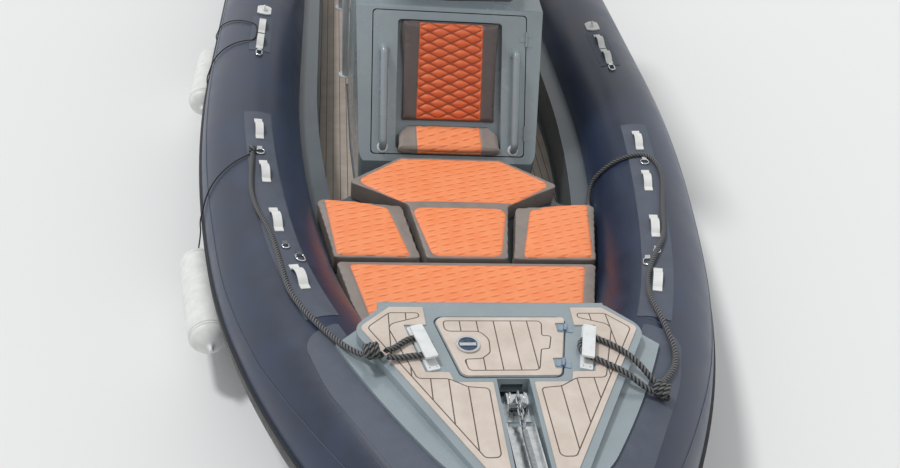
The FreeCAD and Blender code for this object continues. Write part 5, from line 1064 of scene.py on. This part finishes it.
def coverEngine(look):
    # gloss cover over a rubber belt line, with shaded intake slots under its aft edge
    rows, count = look["sections"], look["count"]
    points = [cowlPoint(row, math.tau * k / count) for row in rows for k in range(count)]
    cover = makeObject("engine_cover", points, ringFaces(len(rows), count), finish["enginePaint"], 50.0)
    cover.data.materials.append(finish["extrudedRubber"])
    for face in cover.data.polygons:
        if look["belt"][0] < face.center.z < look["belt"][1]:
            face.material_index = 1
    fitPiece(cover, "engine", "engine_paint", "outboard_cowl")
    lines = []
    for z in look["vents"]:
        k = max(i for i, row in enumerate(rows) if row[0] <= z)
        share = (z - rows[k][0]) / (rows[k + 1][0] - rows[k][0])
        section = tuple(a + (b - a) * share for a, b in zip(rows[k], rows[k + 1]))
        for side in (0, 1):
            arc = [cowlPoint(section, math.radians(look["ventFrom"] + look["ventSweep"] * i / 12), -look["ventSunk"])
                   for i in range(13)]
            lines.append(([((1 - 2 * side) * x, y, z) for x, y, z in arc], False))
    fitPiece(layBeads("engine_intakes", lines, look["ventWidth"], "satinAbs"), "engine", "dash_black")


coverEngine(cowl)


# blank glass of the display, let into its bezel
displayLook = {"corners": [(0.272, 0.087), (-0.012, 0.087), (-0.012, -0.077), (0.272, -0.077)], "round": 0.008,
    "heights": (0.0150, 0.0166)}
displayOutline = roundedOutline(displayLook["corners"], displayLook["round"])
fitPiece(flatPanel("display_glass", dashFace, displayOutline, *displayLook["heights"], "displayGlass", 30.0), "boat",
    "dash_black")


def screwTree():
    # a pan-head screw at each point, stood along the point's facing
    tree, given = makeTree("screws", {"Radius": "NodeSocketFloat", "Finish": "NodeSocketMaterial"})
    head = addNode(tree, "GeometryNodeMeshUVSphere", {"Segments": 12, "Rings": 6, "Radius": given.outputs["Radius"]})
    pressed = addNode(tree, "GeometryNodeTransform", {"Geometry": head, "Scale": (1.0, 1.0, 0.45)})
    facing = addNode(tree, "GeometryNodeInputNamedAttribute", {"Name": "facing"}, data_type="FLOAT_VECTOR")
    stand = addNode(tree, "FunctionNodeAlignRotationToVector", {"Vector": facing}, axis="Z")
    put = addNode(tree, "GeometryNodeInstanceOnPoints", {
        "Points": given.outputs["Geometry"], "Instance": pressed, "Rotation": stand})
    whole = addNode(tree, "GeometryNodeRealizeInstances", {"Geometry": put})
    coated = addNode(tree, "GeometryNodeSetMaterial", {"Geometry": whole, "Material": given.outputs["Finish"]})
    addNode(tree, "NodeGroupOutput", {0: coated})
    return tree


def driveScrews(name, plane, spots, radius):
    outward = Vector(plane[3])
    mesh = bpy.data.meshes.new(name + "Points")
    mesh.from_pydata([tuple(p) for p in onPlane(plane, spots)], [], [])
    facing = mesh.attributes.new("facing", "FLOAT_VECTOR", "POINT")
    facing.data.foreach_set("vector", [v for _ in spots for v in outward])
    heads = runTree(name, mesh, screwNodes, {"Radius": radius, "Finish": finish["polishedStainless"]})
    fitPiece(finishObject(name, heads, finish["polishedStainless"], 60.0), "boat", "stainless")


screwNodes = screwTree()
screwSpots = {  # metres on the deck's plane, the dash's and the floor's
    "cleat": {"middle": (0.349, -0.269), "turn": 15.0, "along": 0.122, "across": 0.015, "height": 0.0020,
        "radius": 0.0042},
    "dash": {"across": (-0.495, -0.1, 0.3, 0.495), "up": 0.135, "height": 0.0080, "radius": 0.0035},
    "foot": {"legs": ((0.615, 0.540), (0.640, 1.700)), "ring": 0.038, "turns": (0.785, 2.356, 3.927, 5.498),
        "flange": 0.008, "radius": 0.0055},
}


def placeScrews(look):
    cleat, dash, foot = look["cleat"], look["dash"], look["foot"]
    lean, rise = math.sin(math.radians(cleat["turn"])), math.cos(math.radians(cleat["turn"]))
    x, y = cleat["middle"]
    spots = [(side * (x + along * lean + across * rise), y + along * rise - across * lean, cleat["height"])
             for side in (1, -1) for along in (cleat["along"], -cleat["along"])
             for across in (cleat["across"], -cleat["across"])]
    driveScrews("cleat_screws", deckPlane, spots, cleat["radius"])
    spots = [(x, y, dash["height"]) for x in dash["across"] for y in (dash["up"], -dash["up"])]
    driveScrews("dash_screws", dashFace, spots, dash["radius"])
    spots = [(side * x + foot["ring"] * math.cos(a), y + foot["ring"] * math.sin(a), 0.0)
             for side in (1, -1) for x, y in foot["legs"] for a in foot["turns"]]
    footPlane = ((0.0, 0.0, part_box("ttop_frame")[0][2] + foot["flange"]), *levelTop[1:])
    driveScrews("canopy_foot_screws", footPlane, spots, foot["radius"])


placeScrews(screwSpots)
print("fittings dressed")


fenderLook = {
    "length": 0.750, "radius": 0.105, "count": 40, "eyeFlat": 0.62, "lanyard": 0.008,
    "out": 0.3105, "strake": (84.0, 108.0), "strakeOut": 0.3245,  # a lanyard's stand-off, and over the fender strip
    "ends": [((-1.5979, 0.6100, 0.2647), (-1.5979, -0.1400, 0.2647)),
    ((-1.4643, -1.6733, 0.2432), (-1.3128, -2.4069, 0.2791))],
}


def makeFender(name, aft, fore, look):
    # blow-moulded cylinder with ribbed shoulders and a flat moulded eye at each end
    aft, fore = Vector(aft), Vector(fore)
    axis = (fore - aft).normalized()
    side = axis.cross(Vector((0, 0, 1))).normalized()
    lift = side.cross(axis)
    length, radius = look["length"], look["radius"]
    rows = [(-0.036, 0.0), (-0.036, 0.013), (-0.030, 0.017), (-0.012, 0.018), (0.0, 0.026), (0.004, 0.040),
        (0.018, 0.062), (0.040, 0.086), (0.062, 0.0985), (0.068, 0.0985), (0.071, 0.1025), (0.078, 0.1025),
        (0.081, 0.0995), (0.086, 0.0995), (0.089, 0.1035), (0.096, 0.1035), (0.100, 0.1045), (0.140, radius)]
    rows = rows + [(length - a, r) for a, r in reversed(rows)]
    points = []
    for a, r in rows:
        flat = look["eyeFlat"] if a < 0 or a > length else 1.0
        for k in range(look["count"]):
            t = math.tau * k / look["count"]
            points.append(aft + axis * a + side * (math.cos(t) * r * flat) + lift * (math.sin(t) * r))
    piece = makeObject(name, points, ringFaces(len(rows), look["count"], closed=False), finish["whitePvc"], 50.0)
    mendMesh(piece.data, merge=True)
    return fitPiece(piece, "boat", "fender_white", "fenders")


for k, ends in enumerate(fenderLook["ends"]):
    makeFender("fender_%d" % (k + 1), *ends, fenderLook)


def roundTheTube(yFrom, yTo, angleFrom, angleTo, count=9, side=-1):
    # points of a line that hugs the collar, standing off the fender strip a little more
    places = []
    low, high = fenderLook["strake"]
    for k in range(count + 1):
        t = k / count
        angle = angleFrom + (angleTo - angleFrom) * t
        out = fenderLook["strakeOut"] if low < angle < high else fenderLook["out"]
        places.append(tuple(onCollar(yFrom + (yTo - yFrom) * t, angle, out, side)))
    return places


def tieLanyard(name, points):
    piece = softLine(name, points, bevel=fenderLook["lanyard"] / 2)
    piece.data.materials.append(finish["twistedPolyester"])
    length = lineLength(linePoints(name + "Line", points))
    fitPiece(piece, "boat", "black_rope")


(firstAft, firstFore), (secondAft, _) = fenderLook["ends"]
tieLanyard("lanyard_1", [firstAft] + roundTheTube(0.56, 0.152, 98.0, -2.0)
    + roundTheTube(-0.069, -0.10, -2.0, 98.0) + [firstFore])
tieLanyard("lanyard_2", [secondAft] + roundTheTube(-1.62, -1.40, 98.0, 4.0))
print("fenders hung")


stageLook = {"radius": 45.0, "floor": "#e9eaea", "rough": 0.9, "sky": 0.62, "sun": 1.5, "spread": 9.0,
    "sunFrom": (-0.42, 0.30, 0.86)}


def makeFloor(look):
    # pale studio floor at the waterline
    mesh = bpy.data.meshes.new("studioFloor")
    work = bmesh.new()
    bmesh.ops.create_circle(work, cap_ends=True, segments=96, radius=look["radius"])
    work.to_mesh(mesh)
    work.free()
    floor = bpy.data.objects.new("studioFloor", mesh)
    scene.collection.objects.link(floor)
    material, tree, shader = startFinish("paleFloor")
    shader.inputs["Base Color"].default_value = linearColour(look["floor"])
    shader.inputs["Roughness"].default_value = look["rough"]
    mesh.materials.append(material)


def makeLight(look):
    # even sky light; cameras, mirrors and glass see it white
    world = bpy.data.worlds.new("studioSky")
    scene.world = world
    world.use_nodes = True
    tree = world.node_tree
    tree.nodes.clear()
    rays = addNode(tree, "ShaderNodeLightPath")
    seen = addNode(tree, "ShaderNodeMath", {0: rays.outputs["Is Camera Ray"], 1: rays.outputs["Is Transmission Ray"]},
        operation="MAXIMUM")
    bright = addNode(tree, "ShaderNodeMath", {0: seen, 1: rays.outputs["Is Glossy Ray"]}, operation="MAXIMUM")
    level = addNode(tree, "ShaderNodeMapRange", {"Value": bright, "To Min": look["sky"], "To Max": 1.0})
    sky = addNode(tree, "ShaderNodeBackground", {"Color": linearColour("#ffffff"), "Strength": level})
    addNode(tree, "ShaderNodeOutputWorld", {"Surface": sky})
    sun = bpy.data.lights.new("highSun", "SUN")
    sun.energy = look["sun"]
    sun.angle = math.radians(look["spread"])
    lamp = bpy.data.objects.new("highSun", sun)
    lamp.rotation_euler = Vector(look["sunFrom"]).to_track_quat("Z", "Y").to_euler()
    scene.collection.objects.link(lamp)


makeFloor(stageLook)
makeLight(stageLook)
scene.view_settings.view_transform = "Standard"
print("stage set")
